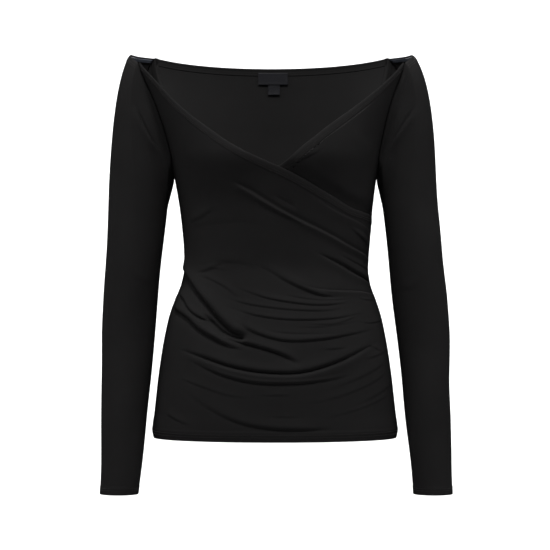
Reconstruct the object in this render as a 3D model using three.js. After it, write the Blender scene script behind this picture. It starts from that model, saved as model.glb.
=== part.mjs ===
// An off-shoulder wrap top in ruched jersey, filled out as when worn, with nothing inside it.
// The cut pieces are open walls of cloth: two fronts that cross, a back and two sleeves.
import * as THREE from "three";

// Driving sizes, in millimetres. The origin lies midway between the shoulder tips, level with
// the top edge. X runs to the wearer's left, the front faces -Y and Z is up.
const clothWall = 1.6;
const seamGap = 0.3;
const layerDrop = 3.5;
const hemHeight = -536;
const cuffHeight = -613;
const underarmHeight = -176;
const frontSeamTop = -16;
const backSeamTop = 0;
const overEdgeEnd = -229;
const underEdgeEnd = -235;
const underFrontHem = -300;
const headEnd = -220;
const headFullness = 0.75;
const evenBelow = -430;
const neckTurning = 10;
const hemTurning = 14;
const cuffTurning = 11;
const turningRise = 0.5;
const turningStep = 1.2;
const shoulderLean = 5;
const leanEnd = -160;
const waistLean = 2.4;
const waistLeanHeight = -255;
const waistLeanSpread = 50;
const bustRise = 12;
const bustAcross = 72;
const bustHeight = -140;
const bustSpread = 40;
const bustFallAbove = 45;
const bustFallBelow = 32;
const backDip = 11.6;
const sectionPower = 2.2;
const leftHeadSpread = 1.45;

// Depths that the cloth may sink below the form, and the ease of its lift at edges and seams.
const overTrough = 2;
const overTroughAboveUnder = 0.4;
const backTrough = 1.5;
const sleeveTrough = 1;
const overSeamEase = 0.05;
const backSeamEase = 0.08;
const layerDropStart = 4;
const layerDropEnd = 20;

// Shape of a crease: how soon it fades at its ends, how far it reaches in all, and the depth and
// reach of its trough as shares of the roll's.
const creaseEndFade = 2.6;
const creaseRange = 3.5;
const troughDepth = 0.18;
const troughReach = 0.5;

// Columns in each piece's wall, and segments along an armhole seam and a sleeve's free top edge.
const overColumns = 32;
const underColumns = 20;
const backColumns = 22;
const seamSegments = 9;
const topSegments = 8;
const headRows = 8;
const headSpacing = 1.3;
const armRows = 8;

// Torso sections: height, half width, depth forward, depth back.
const torsoSections = [
  [0, 200, 96, 98],
  [-16, 196, 100, 99],
  [-60, 176, 108, 100],
  [-100, 160, 112, 100],
  [-140, 148.5, 112, 98],
  [-176, 141, 106, 94],
  [-210, 135.8, 100, 87],
  [-244, 132.3, 94, 81],
  [-277, 129.5, 90, 78],
  [-300, 128.8, 88, 78],
  [-322, 132.3, 89.5, 80],
  [-344, 140.7, 92, 84],
  [-367, 148.4, 95.5, 90],
  [-389, 153.3, 99, 96],
  [-412, 157.5, 102, 101],
  [-456, 163.8, 106, 107],
  [-501, 168.7, 107.5, 110.5],
  [-524, 171.5, 108, 112],
  [-536, 169.5, 107, 111],
];

// Armhole seams: height, distance out from the middle line.
const frontSeamRows = [
  [frontSeamTop, 184],
  [-43, 174.5],
  [-70, 163.5],
  [-95, 155.5],
  [-120, 149],
  [-147, 143.5],
  [underarmHeight, 141],
];
const backSeamRows = [
  [backSeamTop, 167],
  [-40, 160],
  [-80, 153],
  [-120, 147.5],
  [-150, 144],
  [underarmHeight, 141],
];

// Neck edges of the two fronts: distance across from the origin, height.
const overNeckRows = [
  [-172, -35],
  [-151, -58],
  [-130, -79],
  [-95, -107],
  [-54, -135],
  [-13, -155],
  [8, -164],
  [34, -177],
  [75, -200],
  [110, -219],
];
const underNeckRows = [
  [155, -42],
  [132, -62],
  [104, -84],
  [74, -106],
  [54, -122],
  [36, -136],
  [11, -159],
  [-30, -186],
  [-80, -212],
];

// Creases of the over front, upper ones first: start, bend and end (across, height), the height
// of the roll of cloth beside the crease, its reach, and whether the roll lies above it or below.
const overCreases = [
  [[-58, -179], [20, -219], [132, -289], 3.2, 7, -1],
  [[102, -246], [118, -260], [132, -278], 2.4, 5, 1],
  [[70, -286], [109, -305], [133, -324], 4.2, 6, 1],
  [[-115, -238], [-98, -229], [-79, -217], 1.4, 6, 1],
  [[-33, -292], [11, -319], [98, -338], 4.6, 7, 1],
  [[35, -321], [84, -331], [135, -336], 2.2, 6, -1],
  [[-107, -310], [-84, -301], [-63, -288], 2, 7, 1],
  [[-104, -314], [-19, -344], [108, -349], 2.4, 6, 1],
  [[-82, -346], [-28, -366], [117, -360], 2.8, 7, 1],
  [[-72, -361], [-8, -396], [141, -391], 3, 7, 1],
  [[-128, -309], [-88, -364], [-30, -396], 7, 9, 1],
  [[-142, -359], [-86, -397], [5, -427], 5, 8, 1],
  [[60, -411], [82, -411], [104, -409], 1.4, 6, 1],
  [[-136, -410], [14, -443], [143, -400], 4, 6, -1],
  [[-126, -419], [14, -455], [100, -443], 2.6, 8, -1],
  [[-136, -460], [-47, -511], [83, -517], 2.8, 9, 1],
  [[-145, -503], [-131, -510], [-116, -516], 1.5, 5, 1],
];
// Soft creases of the back at the waist, in the same columns.
const backCreases = [
  [[-124, -262], [-60, -280], [10, -284], 2.2, 9, 1],
  [[122, -250], [50, -290], [-30, -300], 2.6, 9, 1],
  [[-128, -312], [-40, -330], [64, -322], 3, 10, 1],
  [[132, -318], [60, -346], [-20, -352], 2.4, 9, 1],
  [[-140, -366], [-50, -386], [70, -380], 2, 10, 1],
];
// Creases that run from each sleeve's head to its underarm, in the same columns.
const sleeveCreases = {
  right: [[[-193, -72], [-178, -104], [-152, -140], 3, 8, 1]],
  left: [[[195, -76], [174, -104], [152, -132], 3, 8, 1]],
};

// Sleeve rings: height, inner and outer edge on the right, inner and outer edge on the left, half
// depth front to back, and how far back the ring's middle lies.
const sleeveRings = [
  [headEnd, 151.5, 234.2, 151.5, 229.2, 48, 7],
  [-288, 159, 237.2, 159, 235.6, 44.5, 5.5],
  [-344, 164, 240.4, 164.5, 242, 41, 4],
  [-400, 168.8, 242.8, 170.8, 244.4, 37.5, 0],
  [-456, 173, 242.2, 177, 243.6, 34, -8],
  [-512, 178.6, 241.8, 182, 245, 31, -16],
  [-568, 184.4, 242, 188, 245, 28.5, -22],
  [cuffHeight, 189.6, 243, 192, 246.4, 27, -26],
];
// Direction in which a sleeve leaves its armhole: turn around the arm in half turns from the
// underarm by way of the front, then the direction outward, back and up.
const headDirections = [
  [0, 0.12, 0, -1],
  [0.25, 0.56, -0.3, -0.77],
  [0.5, 0.46, -0.24, -0.85],
  [1, 0.48, 0, -0.88],
  [1.6, 0.6, 0.12, -0.79],
  [1.8, 0.56, 0.28, -0.78],
  [2, 0.12, 0, -1],
];
// Free top edge of a sleeve between its two seams: distance out, back and height.
const sleeveTopPoints = [
  [195, -26, -6.5],
  [198, 5, 0],
  [189, 36, 0.5],
];

// Neck label and size tab: middle, width, top and bottom, and their thickness and lift off the cloth.
const labelMiddle = -2.9;
const labelWidth = 43;
const labelTop = -17.5;
const labelBottom = -34.8;
const tabMiddle = -1.5;
const tabWidth = 17;
const tabBottom = -49.3;
const trimThickness = 0.9;
const trimLift = 0.5;
const tapeLift = 0.7;
const tapeStart = 2.5;
const tapeWidth = 6;

const { clamp, lerp, smoothstep } = THREE.MathUtils;

// Smooth curve through a table's rows that never overshoots them, of the named column.
function throughRows(rows, column) {
  const sorted = [...rows].sort((one, other) => one[0] - other[0]);
  const at = sorted.map((row) => row[0]);
  const value = sorted.map((row) => row[column]);
  const slope = at.slice(1).map((x, i) => (value[i + 1] - value[i]) / (x - at[i]));
  const tangent = at.map((_, i) => {
    const before = slope[Math.max(i - 1, 0)];
    const after = slope[Math.min(i, slope.length - 1)];
    return before * after > 0 ? (2 * before * after) / (before + after) : 0;
  });
  return (x) => {
    let i = 0;
    while (i < at.length - 2 && x > at[i + 1]) i += 1;
    const span = at[i + 1] - at[i];
    const t = clamp((x - at[i]) / span, 0, 1);
    const bend = (tangent[i] * (1 - t) - tangent[i + 1] * t) * span * t * (1 - t);
    const ease = t * t * (3 - 2 * t);
    return lerp(value[i], value[i + 1], ease) + bend;
  };
}

const halfWidth = throughRows(torsoSections, 1);
const forwardDepth = throughRows(torsoSections, 2);
const backDepth = throughRows(torsoSections, 3);
const bell = (distance, spread) => Math.exp(-((distance / spread) ** 2) / 2);
const lean = (z) =>
  waistLean * bell(z - waistLeanHeight, waistLeanSpread) - shoulderLean * smoothstep(z, leanEnd, 0);

// Depth forward with the fullness that the fronts are cut for.
function frontDepth(x, z) {
  const upright = bell(z - bustHeight, z > bustHeight ? bustFallAbove : bustFallBelow);
  const across = bell(x - bustAcross, bustSpread) + bell(x + bustAcross, bustSpread);
  return forwardDepth(z) + bustRise * across * upright;
}

// A point of the torso form. Turn runs from -1 at one side seam to 1 at the other, and side is
// -1 on the front and 1 on the back.
function torsoPoint(turn, z, side) {
  const across = Math.sin((turn * Math.PI) / 2);
  const toward = Math.max(0, 1 - Math.abs(across) ** sectionPower) ** (1 / sectionPower);
  const x = lean(z) + halfWidth(z) * across;
  const depth = side < 0 ? frontDepth(x, z) : backDepth(z);
  return new THREE.Vector3(x, side * depth * toward, z);
}

// The form's outward direction there: the slope of the section's own equation.
function torsoNormal(point, side) {
  const level = (x, y, z) =>
    Math.abs((x - lean(z)) / halfWidth(z)) ** sectionPower +
    Math.abs(y / (side < 0 ? frontDepth(x, z) : backDepth(z))) ** sectionPower;
  const step = 0.5;
  const { x, y, z } = point;
  return new THREE.Vector3(
    level(x + step, y, z) - level(x - step, y, z),
    Math.abs(y) < step ? 0 : level(x, y + step, z) - level(x, y - step, z),
    level(x, y, z + step) - level(x, y, z - step),
  ).normalize();
}

const turnAt = (x, z) => Math.asin(clamp((x - lean(z)) / halfWidth(z), -1, 1)) / (Math.PI / 2);
// Cloth length from the middle line to a side seam, which unrolls a turn to a flat distance.
const quarterGirth = (z) => (Math.PI / 4) * (halfWidth(z) + forwardDepth(z));

// Armhole seam stations on the positive side as [turn, height]: the turned edge's own width
// first, then equal steps down to the underarm.
function seamStations(rows, side) {
  const turns = throughRows(rows.map(([z, x]) => [z, z === underarmHeight ? 1 : turnAt(x + lean(z), z)]), 1);
  const top = rows[0][0];
  const samples = 240;
  const heights = Array.from({ length: samples + 1 }, (_, i) => lerp(top, underarmHeight, i / samples));
  const points = heights.map((z) => torsoPoint(turns(z), z, side));
  const lengths = [0];
  for (let i = 1; i <= samples; i += 1) lengths.push(lengths[i - 1] + points[i].distanceTo(points[i - 1]));
  const whole = lengths[samples];
  const first = neckTurning + turningStep;
  const rest = seamSegments - 2;
  const wanted = [0, neckTurning];
  for (let i = 0; i <= rest; i += 1) wanted.push(lerp(first, whole, i / rest));
  return wanted.map((length) => {
    const i = clamp(lengths.findIndex((value) => value >= length), 1, samples);
    const part = (length - lengths[i - 1]) / (lengths[i] - lengths[i - 1]);
    const z = lerp(heights[i - 1], heights[i], clamp(part, 0, 1));
    return [turns(z), z];
  });
}
const frontSeam = seamStations(frontSeamRows, -1);
const backSeam = seamStations(backSeamRows, 1);

// Heights down a side seam: each stretch is a number of rows and the height at its end.
function sideSeam(start, stretches, turn) {
  const rows = [];
  let from = start;
  for (const [count, end] of stretches) {
    for (let i = 1; i <= count; i += 1) rows.push([turn, lerp(from, end, i / count)]);
    from = end;
  }
  return rows;
}
const hemRows = [
  [1, hemHeight + hemTurning],
  [1, hemHeight],
];
const hemLine = hemHeight + hemTurning + turningStep;

// Height of a crease's roll of cloth over a point of the unrolled panel: it rises steeply out
// of the crease, reaches its height at its reach and dies away, and fades at the crease's ends.
function creaseHeight({ path, height, reach, above }, flat) {
  let nearest = Infinity;
  let signed = 0;
  let along = 0;
  for (let i = 1; i < path.length; i += 1) {
    const start = path[i - 1];
    const run = path[i].clone().sub(start);
    const t = clamp(flat.clone().sub(start).dot(run) / run.lengthSq(), 0, 1);
    const offset = flat.clone().sub(start.clone().addScaledVector(run, t));
    if (offset.length() < nearest) {
      nearest = offset.length();
      signed = Math.sign(run.x * offset.y - run.y * offset.x) * Math.sign(run.x) * nearest;
      along = (i - 1 + t) / (path.length - 1);
    }
  }
  const alongFade = Math.min(1, creaseEndFade * Math.sin(Math.PI * along));
  const fade = alongFade * smoothstep(creaseRange * reach - nearest, 0, reach);
  const out = (signed * above) / reach;
  const roll = out > 0 ? out * Math.exp(1 - out) : 0;
  const trough = troughDepth * Math.exp(-Math.abs(out) / troughReach);
  return height * fade * (roll - trough);
}

// A panel point by turn and height, and a point by distance across and height, laid out flat.
const unrolled = (turn, z) => new THREE.Vector2(turn * quarterGirth(z), z);
const unrolledAt = (x, z) => unrolled(turnAt(x, z), z);

// Creases with their routes on the flat panel, as points a few millimetres apart.
function laidCreases(creases, flatten = unrolledAt) {
  return creases.map(([start, bend, end, height, reach, above]) => {
    const bends = [start, bend, end].map(([x, z]) => flatten(x, z));
    return { path: new THREE.SplineCurve(bends).getPoints(20), height, reach, above };
  });
}

// Highest roll and deepest trough at a point, so that creases meet without piling up.
function foldHeight(creases, flat, deepest) {
  const heights = creases.map((crease) => creaseHeight(crease, flat));
  const rise = Math.max(0, ...heights);
  const fall = Math.min(0, ...heights);
  return Math.max(rise + fall, deepest);
}

// Closed wall between an outer and an inner grid of points, open like the cloth itself. A round
// wall joins its last column to its first.
function wallGeometry(outer, inner, round) {
  const rows = outer.length;
  const columns = outer[0].length;
  const positions = [...outer.flat(), ...inner.flat()];
  const index = (layer, row, column) => layer * rows * columns + row * columns + (column % columns);
  const triangles = [];
  const quad = (a, b, c, d) => {
    const short = positions[a].distanceTo(positions[c]) <= positions[b].distanceTo(positions[d]);
    triangles.push(...(short ? [a, b, c, a, c, d] : [a, b, d, b, c, d]));
  };
  const lastColumn = round ? columns : columns - 1;
  for (let row = 0; row < rows - 1; row += 1) {
    for (let column = 0; column < lastColumn; column += 1) {
      const corners = [[row, column], [row + 1, column], [row + 1, column + 1], [row, column + 1]];
      quad(...corners.map(([r, c]) => index(0, r, c)));
      quad(...corners.map(([r, c]) => index(1, r, c)).reverse());
    }
  }
  for (let column = 0; column < lastColumn; column += 1) {
    const next = column + 1;
    const last = rows - 1;
    quad(index(0, 0, column), index(0, 0, next), index(1, 0, next), index(1, 0, column));
    quad(index(0, last, next), index(0, last, column), index(1, last, column), index(1, last, next));
  }
  for (let row = 0; row < rows - 1 && !round; row += 1) {
    const last = columns - 1;
    quad(index(0, row + 1, 0), index(0, row, 0), index(1, row, 0), index(1, row + 1, 0));
    quad(index(0, row, last), index(0, row + 1, last), index(1, row + 1, last), index(1, row, last));
  }
  const geometry = new THREE.BufferGeometry().setFromPoints(positions);
  geometry.setIndex(facingOut(positions, triangles));
  geometry.computeVertexNormals();
  return geometry;
}

// Triangles turned round where they enclose a negative volume.
function facingOut(positions, triangles) {
  let volume = 0;
  for (let i = 0; i < triangles.length; i += 3) {
    const [a, b, c] = triangles.slice(i, i + 3).map((k) => positions[k]);
    volume += a.dot(b.clone().cross(c));
  }
  return volume > 0 ? triangles : triangles.reverse();
}

// Grid of [turn, height] over a panel. The neck edge is turned over by its own width in the first
// rows, square to the edge, and the rows below ease from the neck edge's line to the straight hem.
function panelGrid(neckHeight, left, right, columns) {
  const last = left.length - 1;
  const share = (row, side) => (side[row][1] - side[0][1]) / (side[last][1] - side[0][1]);
  const neckAt = (u) => {
    const turn = lerp(left[0][0], right[0][0], u);
    return [turn, neckHeight(turn)];
  };
  const eased = (row, u) => {
    const fade = 1 - (share(row, left) + share(row, right)) / 2;
    return [0, 1].map((k) => {
      const chord = lerp(left[0][k], right[0][k], u);
      return lerp(left[row][k], right[row][k], u) + fade * (neckAt(u)[k] - chord);
    });
  };
  const edgeStep = 0.01;
  const endShare = 0.1;
  const turned = (row, u) => {
    const [turn, z] = neckAt(u);
    const width = quarterGirth(z);
    const ahead = neckAt(Math.min(u + edgeStep, 1));
    const behind = neckAt(Math.max(u - edgeStep, 0));
    const edge = new THREE.Vector2((ahead[0] - behind[0]) * width, ahead[1] - behind[1]).normalize();
    const distance = neckTurning + (row - 1) * turningStep;
    const square = [turn + (edge.y * distance) / width, z - edge.x * distance];
    const atEnd = Math.max(1 - Math.min(u, 1 - u) / endShare, 0);
    return [0, 1].map((k) => lerp(square[k], eased(row, u)[k], smoothstep(atEnd, 0, 1)));
  };
  const turningRows = 2;
  const keptShare = 0.35;
  return left.map((_, row) =>
    Array.from({ length: columns + 1 }, (_, column) => {
      const u = column / columns;
      if (row === 0) return neckAt(u);
      if (row <= turningRows) return turned(row, u);
      const spare = Math.max(0, 1 - share(row, left) / keptShare);
      const kept = turned(turningRows, u);
      const meant = eased(turningRows, u);
      return eased(row, u).map((value, k) => value + spare * (kept[k] - meant[k]));
    }),
  );
}

// Wall of a torso panel: lift gives how far the cloth stands off the form at a point, and the
// turned neck edge and hem are a little thicker. At the side seams half the gap is left free.
function panelWall(grid, side, lift, firstTurnedHemRow) {
  const seamY = (side * seamGap) / 2;
  const layer = (thickness, rise) =>
    grid.map((cells, row) =>
      cells.map(([turn, z]) => {
        const point = torsoPoint(turn, z, side);
        const normal = torsoNormal(point, side);
        const turnedOver = row <= 1 || row >= firstTurnedHemRow;
        const height = lift(turn, z) - thickness + (turnedOver ? rise : 0);
        point.addScaledVector(normal, height);
        point.y = side < 0 ? Math.min(point.y, seamY) : Math.max(point.y, seamY);
        if (Math.abs(turn) > 0.9999) point.y = seamY;
        return point;
      }),
    );
  return wallGeometry(layer(0, turningRise), layer(clothWall, 0), false);
}

const jersey = { color: "#1b191a", roughness: 0.62, metalness: 0 };
const labelCloth = { color: "#1d1d24", roughness: 0.5, metalness: 0 };
const gripElastic = { color: "#22242e", roughness: 0.35, metalness: 0 };

function namedMesh(name, geometry, finish) {
  const mesh = new THREE.Mesh(geometry, new THREE.MeshStandardMaterial(finish));
  mesh.name = name;
  return mesh;
}

// Neck edge height by turn, through a table's rows with its two ends added.
function neckEdge(rows, ends) {
  const points = [...rows.map(([x, z]) => [turnAt(x, z), z]), ...ends];
  return throughRows(points, 1);
}

const mirrored = (stations) => stations.map(([turn, z]) => [-turn, z]);
const overNeck = neckEdge(overNeckRows, [mirrored(frontSeam)[0], [1, overEdgeEnd]]);
const underNeck = neckEdge(underNeckRows, [frontSeam[0], [-1, underEdgeEnd]]);

// The over front: the wearer's right armhole, both side seams and the gathers that fan from the
// left one. Its troughs stay shallow where the under front lies beneath.
function frontOverPanel() {
  const left = [
    ...mirrored(frontSeam),
    ...sideSeam(underarmHeight, [[5, -240], [24, -440], [5, hemLine], ...hemRows], -1),
  ];
  const start = overEdgeEnd - neckTurning;
  const right = [
    [1, overEdgeEnd],
    [1, start],
    [1, start - turningStep],
    ...sideSeam(start - turningStep, [[7, -262], [5, -280], [24, -446], [5, hemLine], ...hemRows], 1),
  ];
  const creases = laidCreases(overCreases);
  const lift = (turn, z) => {
    const overUnder = smoothstep(z, underFrontHem - 15, underFrontHem - 3);
    const deepest = -lerp(overTrough, overTroughAboveUnder, overUnder);
    const fromSeam = smoothstep(1 - Math.abs(turn), 0, overSeamEase);
    return fromSeam * foldHeight(creases, unrolled(turn, z), deepest);
  };
  const grid = panelGrid(overNeck, left, right, overColumns);
  return namedMesh("front_over_panel", panelWall(grid, -1, lift, left.length - 2), jersey);
}

// The under front: the wearer's left armhole. It sinks below the over front's edge and ends,
// hidden, at the waist.
function frontUnderPanel() {
  const rowsBelowArm = 4;
  const hiddenRows = frontSeam.length - 1 + rowsBelowArm;
  const left = [
    [-1, underEdgeEnd],
    ...sideSeam(underEdgeEnd, [[hiddenRows, underFrontHem]], -1),
  ];
  const right = [...frontSeam, ...sideSeam(underarmHeight, [[rowsBelowArm, underFrontHem]], 1)];
  const lift = (turn, z) => {
    const above = z - overNeck(clamp(turn, mirrored(frontSeam)[0][0], 1));
    return -layerDrop * (1 - smoothstep(above, layerDropStart, layerDropEnd));
  };
  const grid = panelGrid(underNeck, left, right, underColumns);
  return namedMesh("front_under_panel", panelWall(grid, -1, lift, left.length), jersey);
}

// The back: straight across the top with a shallow dip in the middle.
function backPanel() {
  const edge = (turn) => backSeamTop - backDip * (1 - (turn / backSeam[0][0]) ** 2);
  const below = sideSeam(underarmHeight, [[5, -240], [9, -420], [3, hemLine], ...hemRows], 1);
  const right = [...backSeam, ...below];
  const creases = laidCreases(backCreases);
  const lift = (turn, z) => {
    const fromSeam = smoothstep(1 - Math.abs(turn), 0, backSeamEase);
    return fromSeam * foldHeight(creases, unrolled(turn, z), -backTrough);
  };
  const grid = panelGrid(edge, mirrored(right), right, backColumns);
  return namedMesh("back_panel", panelWall(grid, 1, lift, right.length - 2), jersey);
}

// One sleeve, worked out for the left arm and mirrored for the right: a loop of stations round
// the armhole and along the free top edge, and a cloth line from each of them to the ring below.
function sleeveForm(hand) {
  const mirror = hand === "right" ? -1 : 1;
  const place = ([out, back, z]) => new THREE.Vector3(mirror * out + lean(z), back, z);
  const onSeam = (stations, side) =>
    stations.map(([turn, z]) => {
      const point = torsoPoint(mirror * turn, z, side);
      return { point, normal: torsoNormal(point, side) };
    });
  const front = onSeam(frontSeam, -1).reverse();
  const back = onSeam(backSeam, 1);
  const topEdge = [front.at(-1).point, ...sleeveTopPoints.map(place), back[0].point];
  const freePoints = new THREE.CatmullRomCurve3(topEdge).getSpacedPoints(topSegments);
  const free = freePoints.slice(1, -1).map((point) => ({ point }));
  const loop = [...front, ...free, ...back.slice(0, -1)];
  const count = loop.length;
  const frontEnd = seamSegments;
  const backStart = seamSegments + topSegments;
  const turnOf = (i) => {
    if (i <= frontEnd) return (0.5 * i) / frontEnd;
    if (i <= backStart) return 0.5 + (1.1 * (i - frontEnd)) / topSegments;
    return 1.6 + (0.4 * (i - backStart)) / seamSegments;
  };
  const directions = [1, 2, 3].map((column) => throughRows(headDirections, column));
  const spread = hand === "left" ? leftHeadSpread : 1;
  const ringColumns = hand === "right" ? [1, 2, 5, 6] : [3, 4, 5, 6];
  const rings = ringColumns.map((column) => throughRows(sleeveRings, column));
  const ringPoint = (i, z) => {
    const [inner, outer, half, middle] = rings.map((at) => at(z));
    const angle = Math.PI * lerp((2 * i) / count, turnOf(i), smoothstep(z, evenBelow, headEnd));
    const x = (inner + outer) / 2 - ((outer - inner) / 2) * Math.cos(angle);
    return new THREE.Vector3(mirror * x, middle - half * Math.sin(angle), z);
  };
  loop.forEach((station, i) => {
    const before = loop[i === backStart ? i : (i + count - 1) % count].point;
    const after = loop[i === frontEnd ? i : (i + 1) % count].point;
    const along = after.clone().sub(before).normalize();
    const [out, toBack, up] = directions.map((at) => at(turnOf(i)));
    const leave = new THREE.Vector3(mirror * out * spread, toBack, up).normalize();
    const outward = along.clone().cross(leave).multiplyScalar(-mirror).normalize();
    const start = station.point.clone();
    if (station.normal) {
      const away = station.normal.clone().cross(along).multiplyScalar(-mirror).normalize();
      const opening = Math.acos(clamp(outward.dot(station.normal), -1, 1)) / 2;
      start.addScaledVector(away, seamGap * Math.cos(opening));
      start.addScaledVector(station.normal, seamGap * Math.sin(opening));
    }
    Object.assign(station, { leave, outward, start });
  });
  // Point on a cloth line: a cubic that leaves the edge one way and meets the ring the other.
  const headPoint = (i, t) => {
    const { start, leave } = loop[i];
    const end = ringPoint(i, headEnd);
    const down = ringPoint(i, headEnd - 10).sub(end).normalize();
    const reach = headFullness * end.distanceTo(start);
    return new THREE.Vector3()
      .addScaledVector(start, 2 * t ** 3 - 3 * t ** 2 + 1)
      .addScaledVector(leave, reach * (t ** 3 - 2 * t ** 2 + t))
      .addScaledVector(end, 3 * t ** 2 - 2 * t ** 3)
      .addScaledVector(down, reach * (t ** 3 - t ** 2));
  };
  const timeAt = (i, distance) =>
    distance / (headFullness * ringPoint(i, headEnd).distanceTo(loop[i].start));
  return { hand, mirror, loop, count, frontEnd, backStart, ringPoint, headPoint, timeAt };
}

// Rows of a sleeve from its top to its cuff: the turned top edge, the head and the rings.
function sleeveRows({ loop, ringPoint, headPoint, timeAt }) {
  const columns = [...loop.keys()];
  const turnedEnd = neckTurning + turningStep;
  const cuffLine = cuffHeight + cuffTurning;
  const rows = [
    columns.map((i) => headPoint(i, 0)),
    columns.map((i) => headPoint(i, timeAt(i, neckTurning))),
  ];
  for (let row = 0; row <= headRows; row += 1) {
    const part = (row / headRows) ** headSpacing;
    rows.push(columns.map((i) => headPoint(i, lerp(timeAt(i, turnedEnd), 1, part))));
  }
  for (let row = 1; row <= armRows; row += 1) {
    rows.push(columns.map((i) => ringPoint(i, lerp(headEnd, cuffLine + turningStep, row / armRows))));
  }
  rows.push(columns.map((i) => ringPoint(i, cuffLine)));
  rows.push(columns.map((i) => ringPoint(i, cuffHeight)));
  return rows;
}

// Outer and inner points of a sleeve's wall, with its creases and its thicker turned edges.
function sleeveLayers(form) {
  const { hand, mirror, loop, count, frontEnd, backStart } = form;
  const rows = sleeveRows(form);
  const last = rows.length - 1;
  const normals = rows.map((cells, row) =>
    cells.map((_, i) => {
      if (row === 0) return loop[i].outward;
      const across = cells[(i + 1) % count].clone().sub(cells[(i + count - 1) % count]);
      const down = rows[Math.min(row + 1, last)][i].clone().sub(rows[row - 1][i]);
      return across.cross(down).multiplyScalar(-mirror).normalize();
    }),
  );
  const creases = laidCreases(sleeveCreases[hand], (x, z) => new THREE.Vector2(x, z));
  const rise = (row, i) => {
    const free = row <= 1 && i > frontEnd && i < backStart;
    return free || row >= last - 1 ? turningRise : 0;
  };
  const fold = (row, i) => {
    const { x, z } = rows[row][i];
    const inFront = row > 0 && i > 0 && i < frontEnd + topSegments / 2;
    return inFront ? foldHeight(creases, new THREE.Vector2(x, z), -sleeveTrough) : 0;
  };
  const layer = (height) =>
    rows.map((cells, row) =>
      cells.map((point, i) => point.clone().addScaledVector(normals[row][i], height(row, i))),
    );
  return {
    outer: layer((row, i) => fold(row, i) + rise(row, i)),
    inner: layer((row, i) => fold(row, i) - clothWall),
  };
}

function sleeve(hand, { outer, inner }) {
  return namedMesh(`${hand}_sleeve`, wallGeometry(outer, inner, true), jersey);
}

// Grip tape inside a sleeve's free top edge: the turned edge's own inner points, moved in.
function gripTape(hand, { loop, frontEnd, backStart }, { outer, inner }) {
  const stations = [...loop.keys()].slice(frontEnd + 1, backStart);
  const layer = (depth) =>
    [tapeStart, tapeStart + tapeWidth].map((distance) =>
      stations.map((i) => {
        const part = distance / neckTurning;
        const face = inner[0][i].clone().lerp(inner[1][i], part);
        const skin = outer[0][i].clone().lerp(outer[1][i], part);
        return face.clone().addScaledVector(skin.sub(face).normalize(), -depth);
      }),
    );
  const wall = wallGeometry(layer(tapeLift), layer(tapeLift + trimThickness), false);
  return namedMesh(`${hand}_grip_tape`, wall, gripElastic);
}

// A small piece on the inside of the back: the back's own points, moved in.
function insideBack(name, middle, width, topHeight, bottomHeight, finish) {
  const columns = Math.ceil(width / 6);
  const layer = (depth) =>
    [topHeight, bottomHeight].map((z) =>
      Array.from({ length: columns + 1 }, (_, i) => {
        const x = middle + width * (i / columns - 0.5);
        const point = torsoPoint(turnAt(x, z), z, 1);
        return point.addScaledVector(torsoNormal(point, 1), -depth);
      }),
    );
  const face = clothWall + trimLift;
  return namedMesh(name, wallGeometry(layer(face), layer(face + trimThickness), false), finish);
}

const wrapTop = new THREE.Group();
wrapTop.add(frontOverPanel(), frontUnderPanel(), backPanel());
for (const hand of ["right", "left"]) {
  const form = sleeveForm(hand);
  const layers = sleeveLayers(form);
  wrapTop.add(sleeve(hand, layers), gripTape(hand, form, layers));
}
wrapTop.add(insideBack("neck_label", labelMiddle, labelWidth, labelTop, labelBottom, labelCloth));
wrapTop.add(insideBack("size_tab", tabMiddle, tabWidth, labelBottom - seamGap, tabBottom, labelCloth));

export default wrapTop;
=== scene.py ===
"""An off-shoulder wrap top of ruched black jersey, filled out as when worn, over its solids.

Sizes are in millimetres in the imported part's frame: X runs to the wearer's left, the front faces
-Y and Z is up, from an origin midway between the shoulder tips. MM turns them into metres.
"""

import bpy
import numpy as np
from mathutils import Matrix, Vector


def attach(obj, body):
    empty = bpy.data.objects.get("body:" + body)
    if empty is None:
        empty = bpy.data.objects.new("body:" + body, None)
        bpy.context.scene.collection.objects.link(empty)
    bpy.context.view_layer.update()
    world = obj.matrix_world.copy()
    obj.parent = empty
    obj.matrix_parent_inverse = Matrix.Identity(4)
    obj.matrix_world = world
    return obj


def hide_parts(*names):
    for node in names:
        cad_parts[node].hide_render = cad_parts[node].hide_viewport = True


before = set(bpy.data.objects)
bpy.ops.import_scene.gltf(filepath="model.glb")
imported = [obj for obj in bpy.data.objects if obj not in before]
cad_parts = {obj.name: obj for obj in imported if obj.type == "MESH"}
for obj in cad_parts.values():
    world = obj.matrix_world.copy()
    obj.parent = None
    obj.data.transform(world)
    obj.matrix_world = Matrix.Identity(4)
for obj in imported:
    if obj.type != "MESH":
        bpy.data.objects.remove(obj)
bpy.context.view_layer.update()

MM = 0.001

# The body's form, as in the part's own source.
HEM_HEIGHT = -536
CUFF_HEIGHT = -613
UNDERARM_HEIGHT = -176
FRONT_SEAM_TOP = -16
BACK_SEAM_TOP = 0
OVER_EDGE_END = -229
UNDER_EDGE_END = -235
UNDER_FRONT_HEM = -300
HEAD_END = -220
HEAD_FULLNESS = 0.75
EVEN_BELOW = -430
SEAM_GAP = 0.3
LAYER_DROP = 3.5
SHOULDER_LEAN = 5
LEAN_END = -160
WAIST_LEAN = 2.4
WAIST_LEAN_HEIGHT = -255
WAIST_LEAN_SPREAD = 50
BUST_RISE = 12
BUST_ACROSS = 72
BUST_HEIGHT = -140
BUST_SPREAD = 40
BUST_FALL_ABOVE = 45
BUST_FALL_BELOW = 32
BACK_DIP = 11.6
SECTION_POWER = 2.2
LEFT_HEAD_SPREAD = 1.45

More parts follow.
